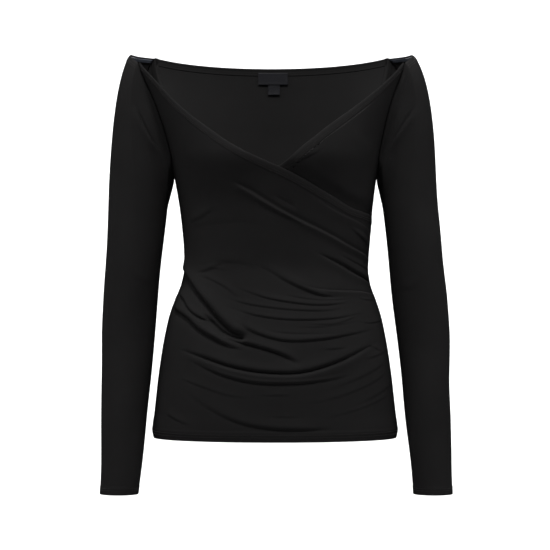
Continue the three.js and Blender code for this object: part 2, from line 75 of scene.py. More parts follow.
# Torso sections: height, half width, depth forward, depth back.
TORSO_SECTIONS = [
    (0, 200, 96, 98),
    (-16, 196, 100, 99),
    (-60, 176, 108, 100),
    (-100, 160, 112, 100),
    (-140, 148.5, 112, 98),
    (-176, 141, 106, 94),
    (-210, 135.8, 100, 87),
    (-244, 132.3, 94, 81),
    (-277, 129.5, 90, 78),
    (-300, 128.8, 88, 78),
    (-322, 132.3, 89.5, 80),
    (-344, 140.7, 92, 84),
    (-367, 148.4, 95.5, 90),
    (-389, 153.3, 99, 96),
    (-412, 157.5, 102, 101),
    (-456, 163.8, 106, 107),
    (-501, 168.7, 107.5, 110.5),
    (-524, 171.5, 108, 112),
    (-536, 169.5, 107, 111),
]
# Armhole seams: height, distance out from the middle line.
FRONT_SEAM_ROWS = [
    (FRONT_SEAM_TOP, 184),
    (-43, 174.5),
    (-70, 163.5),
    (-95, 155.5),
    (-120, 149),
    (-147, 143.5),
    (UNDERARM_HEIGHT, 141),
]
BACK_SEAM_ROWS = [
    (BACK_SEAM_TOP, 167),
    (-40, 160),
    (-80, 153),
    (-120, 147.5),
    (-150, 144),
    (UNDERARM_HEIGHT, 141),
]
# Neck edges of the two fronts: distance across from the origin, height.
OVER_NECK_ROWS = [
    (-172, -35),
    (-151, -58),
    (-130, -79),
    (-95, -107),
    (-54, -135),
    (-13, -155),
    (8, -164),
    (34, -177),
    (75, -200),
    (110, -219),
]
UNDER_NECK_ROWS = [
    (155, -42),
    (132, -62),
    (104, -84),
    (74, -106),
    (54, -122),
    (36, -136),
    (11, -159),
    (-30, -186),
    (-80, -212),
]
# Sleeve rings: height, inner and outer edge on the right, inner and outer edge on the left, half
# depth front to back, and how far back the ring's middle lies.
SLEEVE_RINGS = [
    (HEAD_END, 151.5, 234.2, 151.5, 229.2, 48, 7),
    (-288, 159, 237.2, 159, 235.6, 44.5, 5.5),
    (-344, 164, 240.4, 164.5, 242, 41, 4),
    (-400, 168.8, 242.8, 170.8, 244.4, 37.5, 0),
    (-456, 173, 242.2, 177, 243.6, 34, -8),
    (-512, 178.6, 241.8, 182, 245, 31, -16),
    (-568, 184.4, 242, 188, 245, 28.5, -22),
    (CUFF_HEIGHT, 189.6, 243, 192, 246.4, 27, -26),
]
# Direction in which a sleeve leaves its armhole: turn around the arm in half turns from the
# underarm by way of the front, then the direction outward, back and up.
HEAD_DIRECTIONS = [
    (0, 0.12, 0, -1),
    (0.25, 0.56, -0.3, -0.77),
    (0.5, 0.46, -0.24, -0.85),
    (1, 0.48, 0, -0.88),
    (1.6, 0.6, 0.12, -0.79),
    (1.8, 0.56, 0.28, -0.78),
    (2, 0.12, 0, -1),
]
# Free top edge of a sleeve between its two seams: distance out, back and height.
SLEEVE_TOP_POINTS = [(195, -26, -6.5), (198, 5, 0), (189, 36, 0.5)]

CLOTH_WALL = 1.2
# A turned edge: how far it stands proud, how it eases down before and past its width, the drop
# and the length of its lip, the length of its roll, and the depth and spread of the stitches' pull.
TURNING_RISE = 0.45
TURNING_EASE = (0.8, 1.4)
LIP_DROP = 0.3
LIP_LENGTH = 0.6
ROLL_LENGTH = 3.2
STITCH_DRAW = 0.14
STITCH_DRAW_SPREAD = 0.6
# How far the cloth dips into a seam, and over what length.
SEAM_DIP = 0.55
SEAM_DIP_LENGTH = 1.1
# Stitches are flattened beads with this many sides.
STITCH_PITCH = 3.3
STITCH_LENGTH = 2.3
STITCH_RADIUS = 0.3
STITCH_FLATNESS = 0.8
STITCH_SIDES = 5
# Allowances behind the cloth: wall and gap, and for those in the armhole seams the rows of cloth
# on each side and how far in the middle lies.
TURNING_WALL = 0.5
TURNING_GAP = 0.15
ALLOWANCE_ROWS = 6
ALLOWANCE_RIDGE = 0.6
# Label and tab inside the back, and the elastic tapes inside the sleeves' top edges.
LABEL_WALL = 0.5
LABEL_DEPTH = 2.2
LABEL_PLACE = dict(middle=-2.9, width=43, top=-17.5, bottom=-34.8)
TAB_PLACE = dict(middle=-1.5, width=17, top=-35.1, bottom=-49.3)
LABEL_GRID = (25, 19)
TAPE_START = 2.2
TAPE_WIDTH = 5.8
TAPE_WALL = 0.6
# Distances of the cloth's rows from a turned edge, close together where it's sewn.
NECK_ROWS = np.array([0, 0.7, 2.2, 4, 5.4, 6.2, 7, 8, 8.8, 9.6, 10.4, 11.4, 12.8])
HEM_ROWS = np.array([0, 0.8, 2.4, 4.6, 6.4, 7.4, 8.4, 9.9, 11.4, 12.4, 13.6, 14.6, 16])
CUFF_ROWS = np.array([0, 0.8, 2.2, 4, 5.5, 6.4, 7.2, 8.3, 9.2, 10, 10.8, 11.8, 13.2])
# Turned edges: rows, width of the turning, places of its two rows of stitches, and roll.
NECK_EDGE = (NECK_ROWS, 10, (6.2, 8.8), 1.5)
HEM_EDGE = (HEM_ROWS, 14, (7.4, 11.4), 0)
CUFF_EDGE = (CUFF_ROWS, 11, (6.4, 9.2), 0)
HEM_HEIGHTS = (HEM_HEIGHT + HEM_ROWS)[::-1]
CUFF_HEIGHTS = (CUFF_HEIGHT + CUFF_ROWS)[::-1]
# A distance that counts as far from any edge.
FAR = 99.0

# Grids of the cloth: rows down an armhole seam and those beside it under a neck edge, columns, and
# the stretches down each side seam as (height at its end, rows). Sides are the wearer's.
SEAM_ROWS = 78
BESIDE_SEAM = SEAM_ROWS - len(NECK_ROWS)
OVER_COLUMNS = 146
UNDER_COLUMNS = 96
BACK_COLUMNS = 126
FREE_COLUMNS = 34
OVER_RIGHT_SIDE = [(-240, 38), (-400, 112), (HEM_HEIGHTS[0], 78)]
OVER_LEFT_SIDE = [(-292, BESIDE_SEAM + 38), (-402, 112), (HEM_HEIGHTS[0], 78)]
UNDER_RIGHT_SIDE = [(UNDER_FRONT_HEM, BESIDE_SEAM + 25)]
UNDER_LEFT_SIDE = [(UNDER_FRONT_HEM, 25)]
BACK_SIDE = [(-240, 30), (-440, 100), (HEM_HEIGHTS[0], 46)]
# Length of side seam that the under front's turned edge takes up, shares of a row's width at which
# columns are added by its ends, and points by which a seam is measured.
UNDER_EDGE_DROP = 8.8
END_SHARES = np.array([0.0015, 0.0035, 0.006])
FINE_STEPS = 400
# Share of the width by the ends over which the turned rows stop being square to the neck edge, and
# share of the depth over which what they moved fades out.
SQUARE_EASE = 0.1
SHIFT_EASE = 0.35

# How folds are shaped: points along a route and in each span of its curve, steepness of a roll
# beside its crease and how much slacker the trough is, the stretched bell's spread and power, and
# how far a fold counts, in reaches.
ROUTE_POINTS = 26
SPAN_POINTS = 24
STEEPNESS = 0.22
TROUGH_SLACK = 0.08
ROLL_SPREAD = 1.2
ROLL_POWER = 1.6
FOLD_RANGE = 4
# Where folds fade towards a side seam: rolls, then creases.
ROLL_FADE = (0, 36)
CREASE_FADE = (0.5, 9)
# Deepest crease of the over front below the under front's hem and over it, and the change's limits
# below that hem.
FREE_CREASE = 6
LAPPED_CREASE = 1
LAP_EASE = (30, 3)
# Heights above the over front's neck edge at which the under front comes up, and its folds grow.
LAYER_EASE = (4, 20)
OPEN_EASE = (6, 30)
# Gathers beside the side seams: lowest and highest place, and reach. Waves: length, share, phase.
OVER_LEFT_GATHERS = (-345, -238, 16)
OVER_RIGHT_GATHERS = (-380, -270, 12)
BACK_GATHERS = (-380, -240, 12)
GATHER_HEIGHT = 0.32
GATHER_EASE = 20
GATHER_WAVES = [(2.1, 1, 1), (3.3, 0.7, 0), (1.5, 0.5, 2)]
# Slow unevenness: its height, its waves as share, lengths across and up, and phase, and how far
# below the origin it sets in.
DRIFT_HEIGHT = 0.5
DRIFT_WAVES = [(1, 31, 47, 0), (0.8, -67, 19, 1.3)]
OVER_DRIFT = (150, 260)
BACK_DRIFT = (100, 240)

# Stations round an arm are numbered from the underarm by way of the front: their whole count, the
# ends of the free top edge, a distance down a seam with its number, and the turns at those numbers.
ARM_STATIONS = 26
FREE_START = 9
FREE_END = 17
SEAM_BEND = (26, 7)
STATION_TURNS = [0, 0.5, 1.6, 2]
# Rows of a sleeve: in its head, crowded towards the edge by a power, and down the arm.
HEAD_ROWS = 56
HEAD_CROWDING = 1.15
ARM_ROWS = 112
# A sleeve's folds fade by distance from its edge and by stations from the arm's two sides.
SLEEVE_FADE = (0.3, 7)
SLEEVE_SIDE_FADE = (0, 1.5)
SLEEVE_WAVE = 0.4
SLEEVE_WAVE_START = (60, 260)
SLEEVE_WAVE_LENGTH = 26
SLEEVE_WAVE_SWING = 2.2

# Folds of the over front: the route of the crease across the cloth as (across, height), then the
# height of the roll beside it, its reach, its side (1 above, -1 below, 0 both), the depth of the
# crease, the shares of the route over which it grows and fades, and its steepness where it isn't
# the usual one. A smaller steepness is a sharper climb.
OVER_FOLDS = [
    ([(-60, -181), (-34, -194.5), (-13, -207.5), (10, -221), (35, -234), (58, -245),
      (81, -256.5), (107, -271), (134, -288)],
     3.4, 5.5, -1, 2.4, 0.1, 0.05, 0.3),
    ([(-34, -206), (-8, -221), (20, -234), (46, -247)], 0, 6, 0, 1.6, 0.3, 0.4, 0.6),
    ([(-6, -199), (12, -209), (34, -221)], 0, 6, 0, 1.1, 0.4, 0.4, 0.6),
    ([(96, -238), (110, -251), (133, -277)], 2.6, 5.5, 1, 1, 0.5, 0.05),
    ([(92, -190), (110, -200), (134, -213)], 1.2, 6, 1, 0.3, 0.5, 0.05),
    ([(50, -275), (70, -285), (90, -295), (109, -306), (133, -322)], 4.4, 7, 0, 4, 0.5, 0.04, 0.34),
    ([(72, -275), (94, -285), (116, -296), (134, -307)], 1.5, 4.5, 1, 0.5, 0.4, 0.05),
    ([(-120, -240), (-99, -230), (-76, -215)], 1.9, 7, 1, 0.4, 0.35, 0.4),
    ([(-124, -248), (-84, -240), (-40, -238), (4, -248)], 1.2, 11, 1, 0, 0.3, 0.4, 0.9),
    ([(-40, -290), (-8, -304), (11, -316), (42, -331), (64, -338), (94, -340)],
     4.2, 7.5, 1, 2, 0.75, 0.3, 0.3),
    ([(-110, -308), (-92, -298), (-70, -293), (-44, -295), (-12, -308)],
     1.7, 8, 1, 0, 0.25, 0.45, 0.75),
    ([(-108, -306), (-96, -300), (-80, -301), (-62, -305)], 1.3, 4.5, 1, 0.3, 0.2, 0.5),
    ([(-106, -312), (-90, -316), (-70, -326), (-54, -338), (-40, -344)],
     1.8, 5, 1, 0.4, 0.2, 0.4, 0.3),
    ([(12, -309), (45, -325), (68, -329), (91, -330.5), (121, -332), (135, -336)],
     2.6, 5, -1, 1.1, 0.3, 0.05),
    ([(-112, -310), (-84, -300), (-60, -286)], 2, 7, 1, 0.5, 0.2, 0.5),
    ([(-64, -322), (-36, -333), (-12, -341), (20, -347), (60, -351), (106, -347)],
     1.7, 4.5, 1, 0.8, 0.4, 0.25),
    ([(2, -334), (24, -339), (50, -343), (84, -344), (110, -341)], 0.9, 3.6, 1, 0.4, 0.35, 0.3),
    ([(-78, -336), (-44, -348), (0, -355), (46, -358.5), (76, -358), (100, -353)],
     1.3, 4.2, 1, 0.6, 0.3, 0.3),
    ([(-84, -345), (-38, -362), (0, -369), (40, -371), (84, -369), (126, -360)],
     1.7, 5, 1, 0.8, 0.35, 0.25),
    ([(20, -380), (50, -381), (86, -378), (116, -371)], 0.8, 3.6, 1, 0.3, 0.4, 0.3),
    ([(104, -336), (120, -343), (138, -345)], 1.2, 4, 1, 0.4, 0.5, 0.15),
    ([(108, -372), (128, -376), (148, -373)], 1.1, 4, 1, 0.4, 0.5, 0.15),
    ([(112, -398), (132, -408), (152, -420)], 1.2, 4.5, 1, 0.4, 0.4, 0.15),
    ([(104, -424), (128, -424), (154, -414)], 1.2, 5, 1, 0.3, 0.4, 0.15),
    ([(-40, -377), (6, -388), (62, -390), (106, -387)], 1.1, 4.5, 1, 0.5, 0.4, 0.3),
    ([(-76, -358), (-50, -375), (-28, -388), (11, -399), (60, -398), (105, -391), (140, -383)],
     2.9, 7, 1, 1.2, 0.25, 0.4),
    ([(35, -377), (60, -378), (83, -377), (118, -363)], 1.4, 5, 1, 0.4, 0.4, 0.3),
    ([(-129, -302), (-122, -312), (-105, -338), (-91, -354), (-79, -368), (-66, -381),
      (-55, -389), (-36, -394)],
     8, 13, 1, 6, 0.12, 0.1, 0.24),
    ([(-100, -358), (-86, -374), (-71, -387), (-52, -394.5), (-38, -396)],
     0, 7, 0, 8, 0.35, 0.1, 0.5),
    ([(-133, -336), (-126, -345), (-119, -357), (-108, -366), (-94, -372), (-78, -378)],
     4.6, 6, 1, 3, 0.12, 0.3, 0.3),
    ([(-141, -356), (-131, -363), (-119, -371), (-110, -380), (-98, -389), (-85, -396),
      (-70, -404), (-56, -409), (-38, -412)],
     7, 9, 1, 4, 0.12, 0.3, 0.32),
    ([(-95, -384), (-70, -395), (-55, -399.5), (-25, -407), (9, -418), (27, -428), (36, -437)],
     4.4, 6.5, 1, 3, 0.3, 0.25, 0.3),
    ([(60, -411), (82, -411), (104, -409)], 1.4, 6, 1, 0.3, 0.4, 0.4),
    ([(-136, -409), (-101, -421), (-57, -435), (-14, -442), (35, -442), (83, -429), (120, -412),
      (145, -399)],
     4.4, 8, 0, 3.2, 0.25, 0.3, 0.34),
    ([(-128, -420), (-95, -437), (-66, -448), (-28, -456), (35, -457), (88, -450), (118, -440)],
     4, 6.5, 1, 2.4, 0.3, 0.4, 0.3),
    ([(-138, -458), (-115, -475), (-91, -491), (-47, -511), (1, -519), (45, -520), (86, -517)],
     3, 9, 1, 1.5, 0.75, 0.25, 0.26),
    ([(-132, -450), (-100, -462), (-60, -474), (-20, -478)], 1, 5, 1, 0.3, 0.2, 0.5),
    ([(20, -488), (70, -480), (120, -464), (154, -444)], 0.9, 5, 1, 0.25, 0.5, 0.2),
    ([(50, -508), (100, -497), (158, -474)], 0.8, 5, 1, 0.2, 0.5, 0.2),
    ([(-150, -500), (-131, -510), (-110, -517)], 1.5, 6, 1, 0.3, 0.2, 0.5),
    ([(-24, -473), (26, -473)], 0.8, 5, 1, 0.2, 0.4, 0.4),
    ([(-20, -502), (44, -503)], 0.8, 5, 1, 0.2, 0.4, 0.4),
    ([(60, -470), (110, -453), (152, -430)], 1.1, 7, 1, 0.2, 0.5, 0.2),
    ([(84, -500), (130, -480), (162, -458)], 1, 7, 1, 0.2, 0.5, 0.2),
    ([(36, -192), (84, -222), (133, -250)], 1.1, 8, -1, 0.2, 0.5, 0.1),
]
# Folds of the under front and of the back, in the same columns.
UNDER_FOLDS = [
    ([(12, -166), (40, -153), (70, -138)], 1.4, 5, 1, 0.5, 0.1, 0.5),
    ([(96, -104), (118, -120), (138, -146)], 1, 9, -1, 0.2, 0.4, 0.4),
]
BACK_FOLDS = [
    ([(-134, -214), (-80, -236), (-30, -246)], 1.1, 10, 1, 0.2, 0.1, 0.5),
    ([(-131, -252), (-90, -268), (-40, -280), (14, -285)], 2.2, 9, 1, 0.8, 0.05, 0.4),
    ([(131, -246), (90, -266), (40, -282), (-20, -291)], 2.6, 9, 1, 0.9, 0.4, 0.05),
    ([(-129, -288), (-80, -305), (-20, -313), (56, -310)], 2.4, 8, 1, 0.9, 0.05, 0.4),
    ([(129, -282), (95, -300), (52, -312), (6, -318)], 2, 8, 1, 0.7, 0.4, 0.05),
    ([(-131, -316), (-90, -331), (-30, -338), (40, -334), (94, -325)], 3, 8, 1, 1.2, 0.05, 0.3),
    ([(134, -320), (100, -337), (60, -348), (0, -353), (-46, -353)], 2.6, 8, 1, 1, 0.4, 0.05),
    ([(-141, -350), (-100, -366), (-50, -375), (20, -376), (74, -370)], 2.4, 9, 1, 0.8, 0.05, 0.4),
    ([(144, -354), (110, -371), (60, -382), (0, -387)], 2.2, 9, 1, 0.8, 0.4, 0.05),
    ([(-150, -384), (-100, -402), (-40, -410), (34, -407)], 1.9, 10, 1, 0.6, 0.05, 0.4),
    ([(152, -390), (110, -407), (50, -417), (-14, -419)], 1.6, 10, 1, 0.5, 0.4, 0.05),
    ([(-156, -420), (-110, -437), (-50, -445)], 1.2, 11, 1, 0.3, 0.05, 0.5),
    ([(157, -436), (116, -450), (60, -457)], 1, 11, 1, 0.3, 0.5, 0.05),
]
# Folds of each sleeve, as (across, height) seen from the front.
SLEEVE_FOLDS = {
    "right": [
        ([(-180, -36), (-168, -78), (-157, -118), (-147, -160), (-146, -186)],
         0, 14, 0, 4.5, 0.25, 0.4, 0.5),
        ([(-194, -72), (-180, -104), (-166, -128), (-152, -148)],
         4.2, 6.5, -1, 2.4, 0.3, 0.35, 0.3),
        ([(-184, -22), (-172, -52), (-162, -86)], 2.6, 6, 1, 1.6, 0.2, 0.4),
        ([(-206, -300), (-186, -318), (-164, -322)], 0.9, 10, 1, 0.1, 0.5, 0.3),
    ],
    "left": [
        ([(178, -36), (167, -78), (157, -118), (147, -160), (146, -186)],
         0, 14, 0, 4.5, 0.25, 0.4, 0.5),
        ([(196, -74), (178, -100), (164, -122), (152, -144)], 4.2, 6.5, -1, 2.4, 0.3, 0.4, 0.3),
        ([(181, -30), (176, -60), (166, -98)], 2.4, 6, 1, 1.4, 0.2, 0.4),
        ([(212, -312), (190, -328), (168, -330)], 0.9, 10, 1, 0.1, 0.5, 0.3),
    ],
}


def smoothstep(value, low, high):
    """Ease from 0 at low to 1 at high: 3 t squared less 2 t cubed."""
    t = np.clip((value - low) / (high - low), 0, 1)
    return t * t * (3 - 2 * t)


def bell(distance, spread):
    """Normal curve of height 1: e to the power of minus half the squared distance over spread."""
    return np.exp(-((distance / spread) ** 2) / 2)


def unit(vectors):
    """Vectors divided by their lengths."""
    return vectors / np.maximum(np.linalg.norm(vectors, axis=-1, keepdims=True), 1e-9)


def through_rows(rows, column):
    """Cubic curve through a table's rows whose slopes are the harmonic means of the chords'."""
    table = np.array(sorted(rows, key=lambda row: row[0]), float)
    at, value = table[:, 0], table[:, column]
    slope = np.diff(value) / np.diff(at)
    before, after = np.append(slope[:1], slope), np.append(slope, slope[-1:])
    same_way = before * after > 0
    tangent = np.where(same_way, 2 * before * after / np.where(same_way, before + after, 1), 0)

    def curve(x):
        i = np.clip(np.searchsorted(at, x) - 1, 0, len(at) - 2)
        span = at[i + 1] - at[i]
        t = np.clip((x - at[i]) / span, 0, 1)
        bend = (tangent[i] * (1 - t) - tangent[i + 1] * t) * span * t * (1 - t)
        return value[i] + (value[i + 1] - value[i]) * t * t * (3 - 2 * t) + bend

    return curve


def lengths_along(points, axis=0):
    """Distance from the start to each point of a polyline, or of a grid's lines along an axis."""
    steps = np.linalg.norm(np.diff(points, axis=axis), axis=-1)
    return np.concatenate([0 * steps.take([0], axis), np.cumsum(steps, axis=axis)], axis=axis)


def picked(at, lengths, values):
    """Values of a polyline at distances along it, straight between its points."""
    return np.stack([np.interp(at, lengths, column) for column in values.T], axis=1)


def hermite(t, start, leave, end, arrive):
    """Cubic from a start to an end, with the slopes given with which it leaves and arrives."""
    return (
        start * (2 * t**3 - 3 * t**2 + 1)
        + leave * (t**3 - 2 * t**2 + t)
        + end * (3 * t**2 - 2 * t**3)
        + arrive * (t**3 - t**2)
    )


def smooth_route(points, count):
    """Centripetal Catmull-Rom curve, as points at equal distances: each span is a cubic whose end
    slopes come from the neighbouring points, weighed by the square roots of the distances."""
    points = np.array(points, float)
    points = np.vstack([2 * points[0] - points[1], points, 2 * points[-1] - points[-2]])
    steps = np.sqrt(np.linalg.norm(np.diff(points, axis=0), axis=1))
    t = np.linspace(0, 1, SPAN_POINTS)[:, None]
    spans = []
    for i in range(1, len(points) - 2):
        p0, p1, p2, p3 = points[i - 1 : i + 3]
        d0, d1, d2 = steps[i - 1 : i + 2]
        leave = d1 * ((p1 - p0) / d0 - (p2 - p0) / (d0 + d1) + (p2 - p1) / d1)
        arrive = d1 * ((p2 - p1) / d1 - (p3 - p1) / (d1 + d2) + (p3 - p2) / d2)
        spans.append(hermite(t, p1, leave, p2, arrive))
    curve = np.vstack(spans)
    lengths = lengths_along(curve)
    return picked(np.linspace(0, lengths[-1], count), lengths, curve)


half_width = through_rows(TORSO_SECTIONS, 1)
forward_depth = through_rows(TORSO_SECTIONS, 2)
back_depth = through_rows(TORSO_SECTIONS, 3)


def lean(z):
    """How far the form leans to the wearer's left at a height: a bell at the waist less an ease
    at the shoulders."""
    at_waist = WAIST_LEAN * bell(z - WAIST_LEAN_HEIGHT, WAIST_LEAN_SPREAD)
    return at_waist - SHOULDER_LEAN * smoothstep(z, LEAN_END, 0)


def front_depth(x, z):
    """Depth forward: the sections' own plus a bell on each side that the fronts are cut for."""
    fall = np.where(z > BUST_HEIGHT, BUST_FALL_ABOVE, BUST_FALL_BELOW)
    across = bell(x - BUST_ACROSS, BUST_SPREAD) + bell(x + BUST_ACROSS, BUST_SPREAD)
    return forward_depth(z) + BUST_RISE * across * bell(z - BUST_HEIGHT, fall)


def torso_point(turn, z, side):
    """Point on a section whose halves are superellipses: across is the sine of the turn, and the
    depth's power and the width's power add up to one. Side is -1 in front and 1 behind."""
    across = np.sin(turn * np.pi / 2)
    toward = np.maximum(0, 1 - np.abs(across) ** SECTION_POWER) ** (1 / SECTION_POWER)
    x = lean(z) + half_width(z) * across
    depth = front_depth(x, z) if side < 0 else back_depth(z)
    return np.stack([x, side * depth * toward, z + 0 * x], axis=-1)


def torso_normal(points, side):
    """Outward direction: the slope of the section's own equation, by small steps each way."""
    step = 0.5

    def level(x, y, z):
        depth = front_depth(x, z) if side < 0 else back_depth(z)
        width = np.abs((x - lean(z)) / half_width(z))
        return width**SECTION_POWER + np.abs(y / depth) ** SECTION_POWER

    x, y, z = np.moveaxis(points, -1, 0)
    slope_y = np.where(np.abs(y) < step, 0, level(x, y + step, z) - level(x, y - step, z))
    slope_x = level(x + step, y, z) - level(x - step, y, z)
    slope_z = level(x, y, z + step) - level(x, y, z - step)
    return unit(np.stack([slope_x, slope_y, slope_z], axis=-1))


def turn_at(x, z):
    """Turn of the form's point at a distance across, at a height."""
    return np.arcsin(np.clip((x - lean(z)) / half_width(z), -1, 1)) / (np.pi / 2)


def quarter_girth(z):
    """Cloth length from the middle line to a side seam: a quarter of an ellipse's girth."""
    return np.pi / 4 * (half_width(z) + forward_depth(z))


def laid_flat(turn, z):
    """The cloth unrolled: the turn times the quarter girth, and the height."""
    return np.stack([turn * quarter_girth(z), z + 0 * turn], axis=-1)


def route_distance(flat, route):
    """Distance from each flat point to the nearest place on a route, positive above it, and the
    share of the route that lies before that place."""
    nearest = np.full(flat.shape[:-1], np.inf)
    signed, along = np.zeros_like(nearest), np.zeros_like(nearest)
    for k, (start, run) in enumerate(zip(route[:-1], np.diff(route, axis=0))):
        offset = flat - start
        t = np.clip(offset @ run / (run @ run), 0, 1)
        gap = offset - t[..., None] * run
        distance = np.hypot(gap[..., 0], gap[..., 1])
        closer = distance < nearest
        above = np.sign(run[0] * gap[..., 1] - run[1] * gap[..., 0]) * np.sign(run[0])
        nearest = np.where(closer, distance, nearest)
        signed = np.where(closer, above * distance, signed)
        along = np.where(closer, (k + t) / (len(route) - 1), along)
    return signed, along


def fold_height(flat, folds, unroll):
    """Height of the folds over flat points. Beside its crease each one climbs steeply, as one less
    a falling exponential, and dies away under a stretched bell; the crease is a narrow
    exponential trough. Of rolls that meet the highest counts, and of troughs the deepest."""
    rise, fall = np.zeros(flat.shape[:-1]), np.zeros(flat.shape[:-1])
    for points, height, reach, side, depth, grow, fade, *rest in folds:
        steep = rest[0] if rest else STEEPNESS
        route = smooth_route(unroll(np.array(points, float)), ROUTE_POINTS)
        low, high = route.min(0) - FOLD_RANGE * reach, route.max(0) + FOLD_RANGE * reach
        near = ((flat > low) & (flat < high)).all(-1)
        signed, along = route_distance(flat[near], route)
        out = np.abs(signed) / reach if side == 0 else signed * side / reach
        share = smoothstep(along, 0, grow) * smoothstep(1 - along, 0, fade)
        up = np.maximum(out, 0)
        roll = (1 - np.exp(-up / steep)) * np.exp(-((up / ROLL_SPREAD) ** ROLL_POWER))
        trough = np.exp(-np.abs(out) / (steep + TROUGH_SLACK))
        rise[near] = np.maximum(rise[near], height * share * roll)
        fall[near] = np.minimum(fall[near], -depth * share * trough)
    return rise + fall


def unroll_torso(points):
    """Route points given across and up, laid flat."""
    return laid_flat(turn_at(points[:, 0], points[:, 1]), points[:, 1])


def edge_lift(distance, edge):
    """How far a turned edge stands off the cloth: level over its width, eased down past it,
    rounded off at the very edge, rolled back towards it by a falling exponential, and drawn in by
    a narrow bell at each row of stitches."""
    _, width, stitches, roll = edge
    before, past = TURNING_EASE
    proud = TURNING_RISE * (1 - smoothstep(distance, width - before, width + past))
    lip = -LIP_DROP * np.exp(-distance / LIP_LENGTH) - roll * np.exp(-distance / ROLL_LENGTH)
    drawn = sum(-STITCH_DRAW * bell(distance - row, STITCH_DRAW_SPREAD) for row in stitches)
    return proud + lip + drawn


def neck_distance(shape):
    """Distances from a turned edge over a grid of cloth: its first rows' own, then far off."""
    distance = np.full(shape, FAR)
    distance[: len(NECK_ROWS)] = NECK_ROWS[:, None]
    return distance


def seam_dip(distance):
    """How far the cloth sinks into a seam at a distance from it: a falling exponential."""
    return -SEAM_DIP * np.exp(-np.abs(distance) / SEAM_DIP_LENGTH)


def clustered(count):
    """Shares from 0 to 1 with a few added close to both ends."""
    middle = np.linspace(0, 1, count - 2 * len(END_SHARES))
    return np.sort(np.concatenate([middle, END_SHARES, 1 - END_SHARES]))


def seam_stations(rows, side):
    """Stations down an armhole seam as turns, heights and distances from its top: the turned
    edge's rows first, then equal steps down to the underarm."""
    ends = [(z, 1 if z == UNDERARM_HEIGHT else turn_at(x + lean(z), z)) for z, x in rows]
    turns = through_rows(ends, 1)
    heights = np.linspace(rows[0][0], UNDERARM_HEIGHT, FINE_STEPS)
    lengths = lengths_along(torso_point(turns(heights), heights, side))
    rest = np.linspace(NECK_ROWS[-1], lengths[-1], BESIDE_SEAM + 1)[1:]
    wanted = np.append(NECK_ROWS, rest)
    z = np.interp(wanted, lengths, heights)
    return turns(z), z, wanted


front_seam = seam_stations(FRONT_SEAM_ROWS, -1)
back_seam = seam_stations(BACK_SEAM_ROWS, 1)


def neck_height(rows, ends):
    """A neck edge's height by turn, through a table's rows with its two ends added."""
    x, z = np.array(rows, float).T
    return through_rows([*zip(turn_at(x, z), z), *ends], 1)


seam_top = front_seam[0][0]
over_neck = neck_height(OVER_NECK_ROWS, [(-seam_top, FRONT_SEAM_TOP), (1, OVER_EDGE_END)])
under_neck = neck_height(UNDER_NECK_ROWS, [(seam_top, FRONT_SEAM_TOP), (-1, UNDER_EDGE_END)])


def back_neck(turn):
    """The back neck edge: a parabola that dips in the middle."""
    return BACK_SEAM_TOP - BACK_DIP * (1 - (turn / back_seam[0][0]) ** 2)


def down_side(turns, heights, side, stretches):
    """Stations down one edge of a panel: those given, as turns and heights, then down the side
    seam in equal steps through each stretch, and on through the hem's own rows above it."""
    for end, rows in stretches:
        heights = np.append(heights, np.linspace(heights[-1], end, rows)[1:])
    if heights[-1] == HEM_HEIGHTS[0]:
        heights = np.append(heights, HEM_HEIGHTS[1:])
    return np.append(turns, np.full(len(heights) - len(turns), float(side))), heights


def panel_grid(neck, right, left, columns):
    """Turns and heights over a panel, from its edge on the wearer's right to the one on the left.
    Rows run in step with the two edges and carry a share of the neck edge's own curve that fades
    down to the straight hem. The first rows are the turned edge's, square to the neck edge at
    their own distances; what that moves them by fades out down the right edge."""
    turns = np.stack([right[0], left[0]], axis=1)
    heights = np.stack([right[1], left[1]], axis=1)
    u = clustered(columns)[None, :]
    neck_turn = turns[0, 0] + (turns[0, 1] - turns[0, 0]) * u
    neck_z = neck(neck_turn)
    parts = (heights - heights[0]) / (heights[-1] - heights[0])
    chord = heights[0, 0] + (heights[0, 1] - heights[0, 0]) * u
    curved = (1 - parts.mean(1)[:, None]) * (neck_z - chord)
    turn = turns[:, :1] + (turns[:, 1:] - turns[:, :1]) * u
    z = heights[:, :1] + (heights[:, 1:] - heights[:, :1]) * u + curved
    width = quarter_girth(neck_z)
    slope = np.gradient(neck_z[0], (neck_turn * width)[0])[None, :]
    edge = unit(np.stack([1 + 0 * slope, slope], axis=-1))
    at_end = smoothstep(1 - np.minimum(u, 1 - u) / SQUARE_EASE, 0, 1)
    distance = NECK_ROWS[:, None]
    square_turn = neck_turn + edge[..., 1] * distance / width
    square_z = neck_z - edge[..., 0] * distance
    count = len(NECK_ROWS)
    kept_turn = square_turn + (turn[:count] - square_turn) * at_end
    kept_z = square_z + (z[:count] - square_z) * at_end
    spare = np.maximum(0, 1 - parts[:, :1] / SHIFT_EASE)
    turn_moved, z_moved = kept_turn[-1] - turn[count - 1], kept_z[-1] - z[count - 1]
    turn, z = turn + spare * turn_moved, z + spare * z_moved
    turn[:count], z[:count] = kept_turn, kept_z
    return turn, z


def side_distances(flat):
    """Distances along each row of flat points from its first column and from its last."""
    from_first = lengths_along(flat, 1)
    return from_first, from_first[:, -1:] - from_first


def new_object(name, data):
    """An object of the given data, put into the scene."""
    made = bpy.data.objects.new(name, data)
    bpy.context.scene.collection.objects.link(made)
    return made


def smooth_mesh(name, points, faces):
    """A smoothly shaded mesh of points in millimetres and lists of their numbers."""
    mesh = bpy.data.meshes.new(name)
    mesh.from_pydata((points.reshape(-1, 3) * MM).tolist(), [], faces)
    mesh.polygons.foreach_set("use_smooth", np.ones(len(mesh.polygons), bool))
    return mesh


def face_in(corners, outward):
    """Whether quads given by their corners face against the outward directions on the whole."""
    facing = np.cross(corners[:, 2] - corners[:, 0], corners[:, 3] - corners[:, 1])
    return (facing * outward).sum() < 0


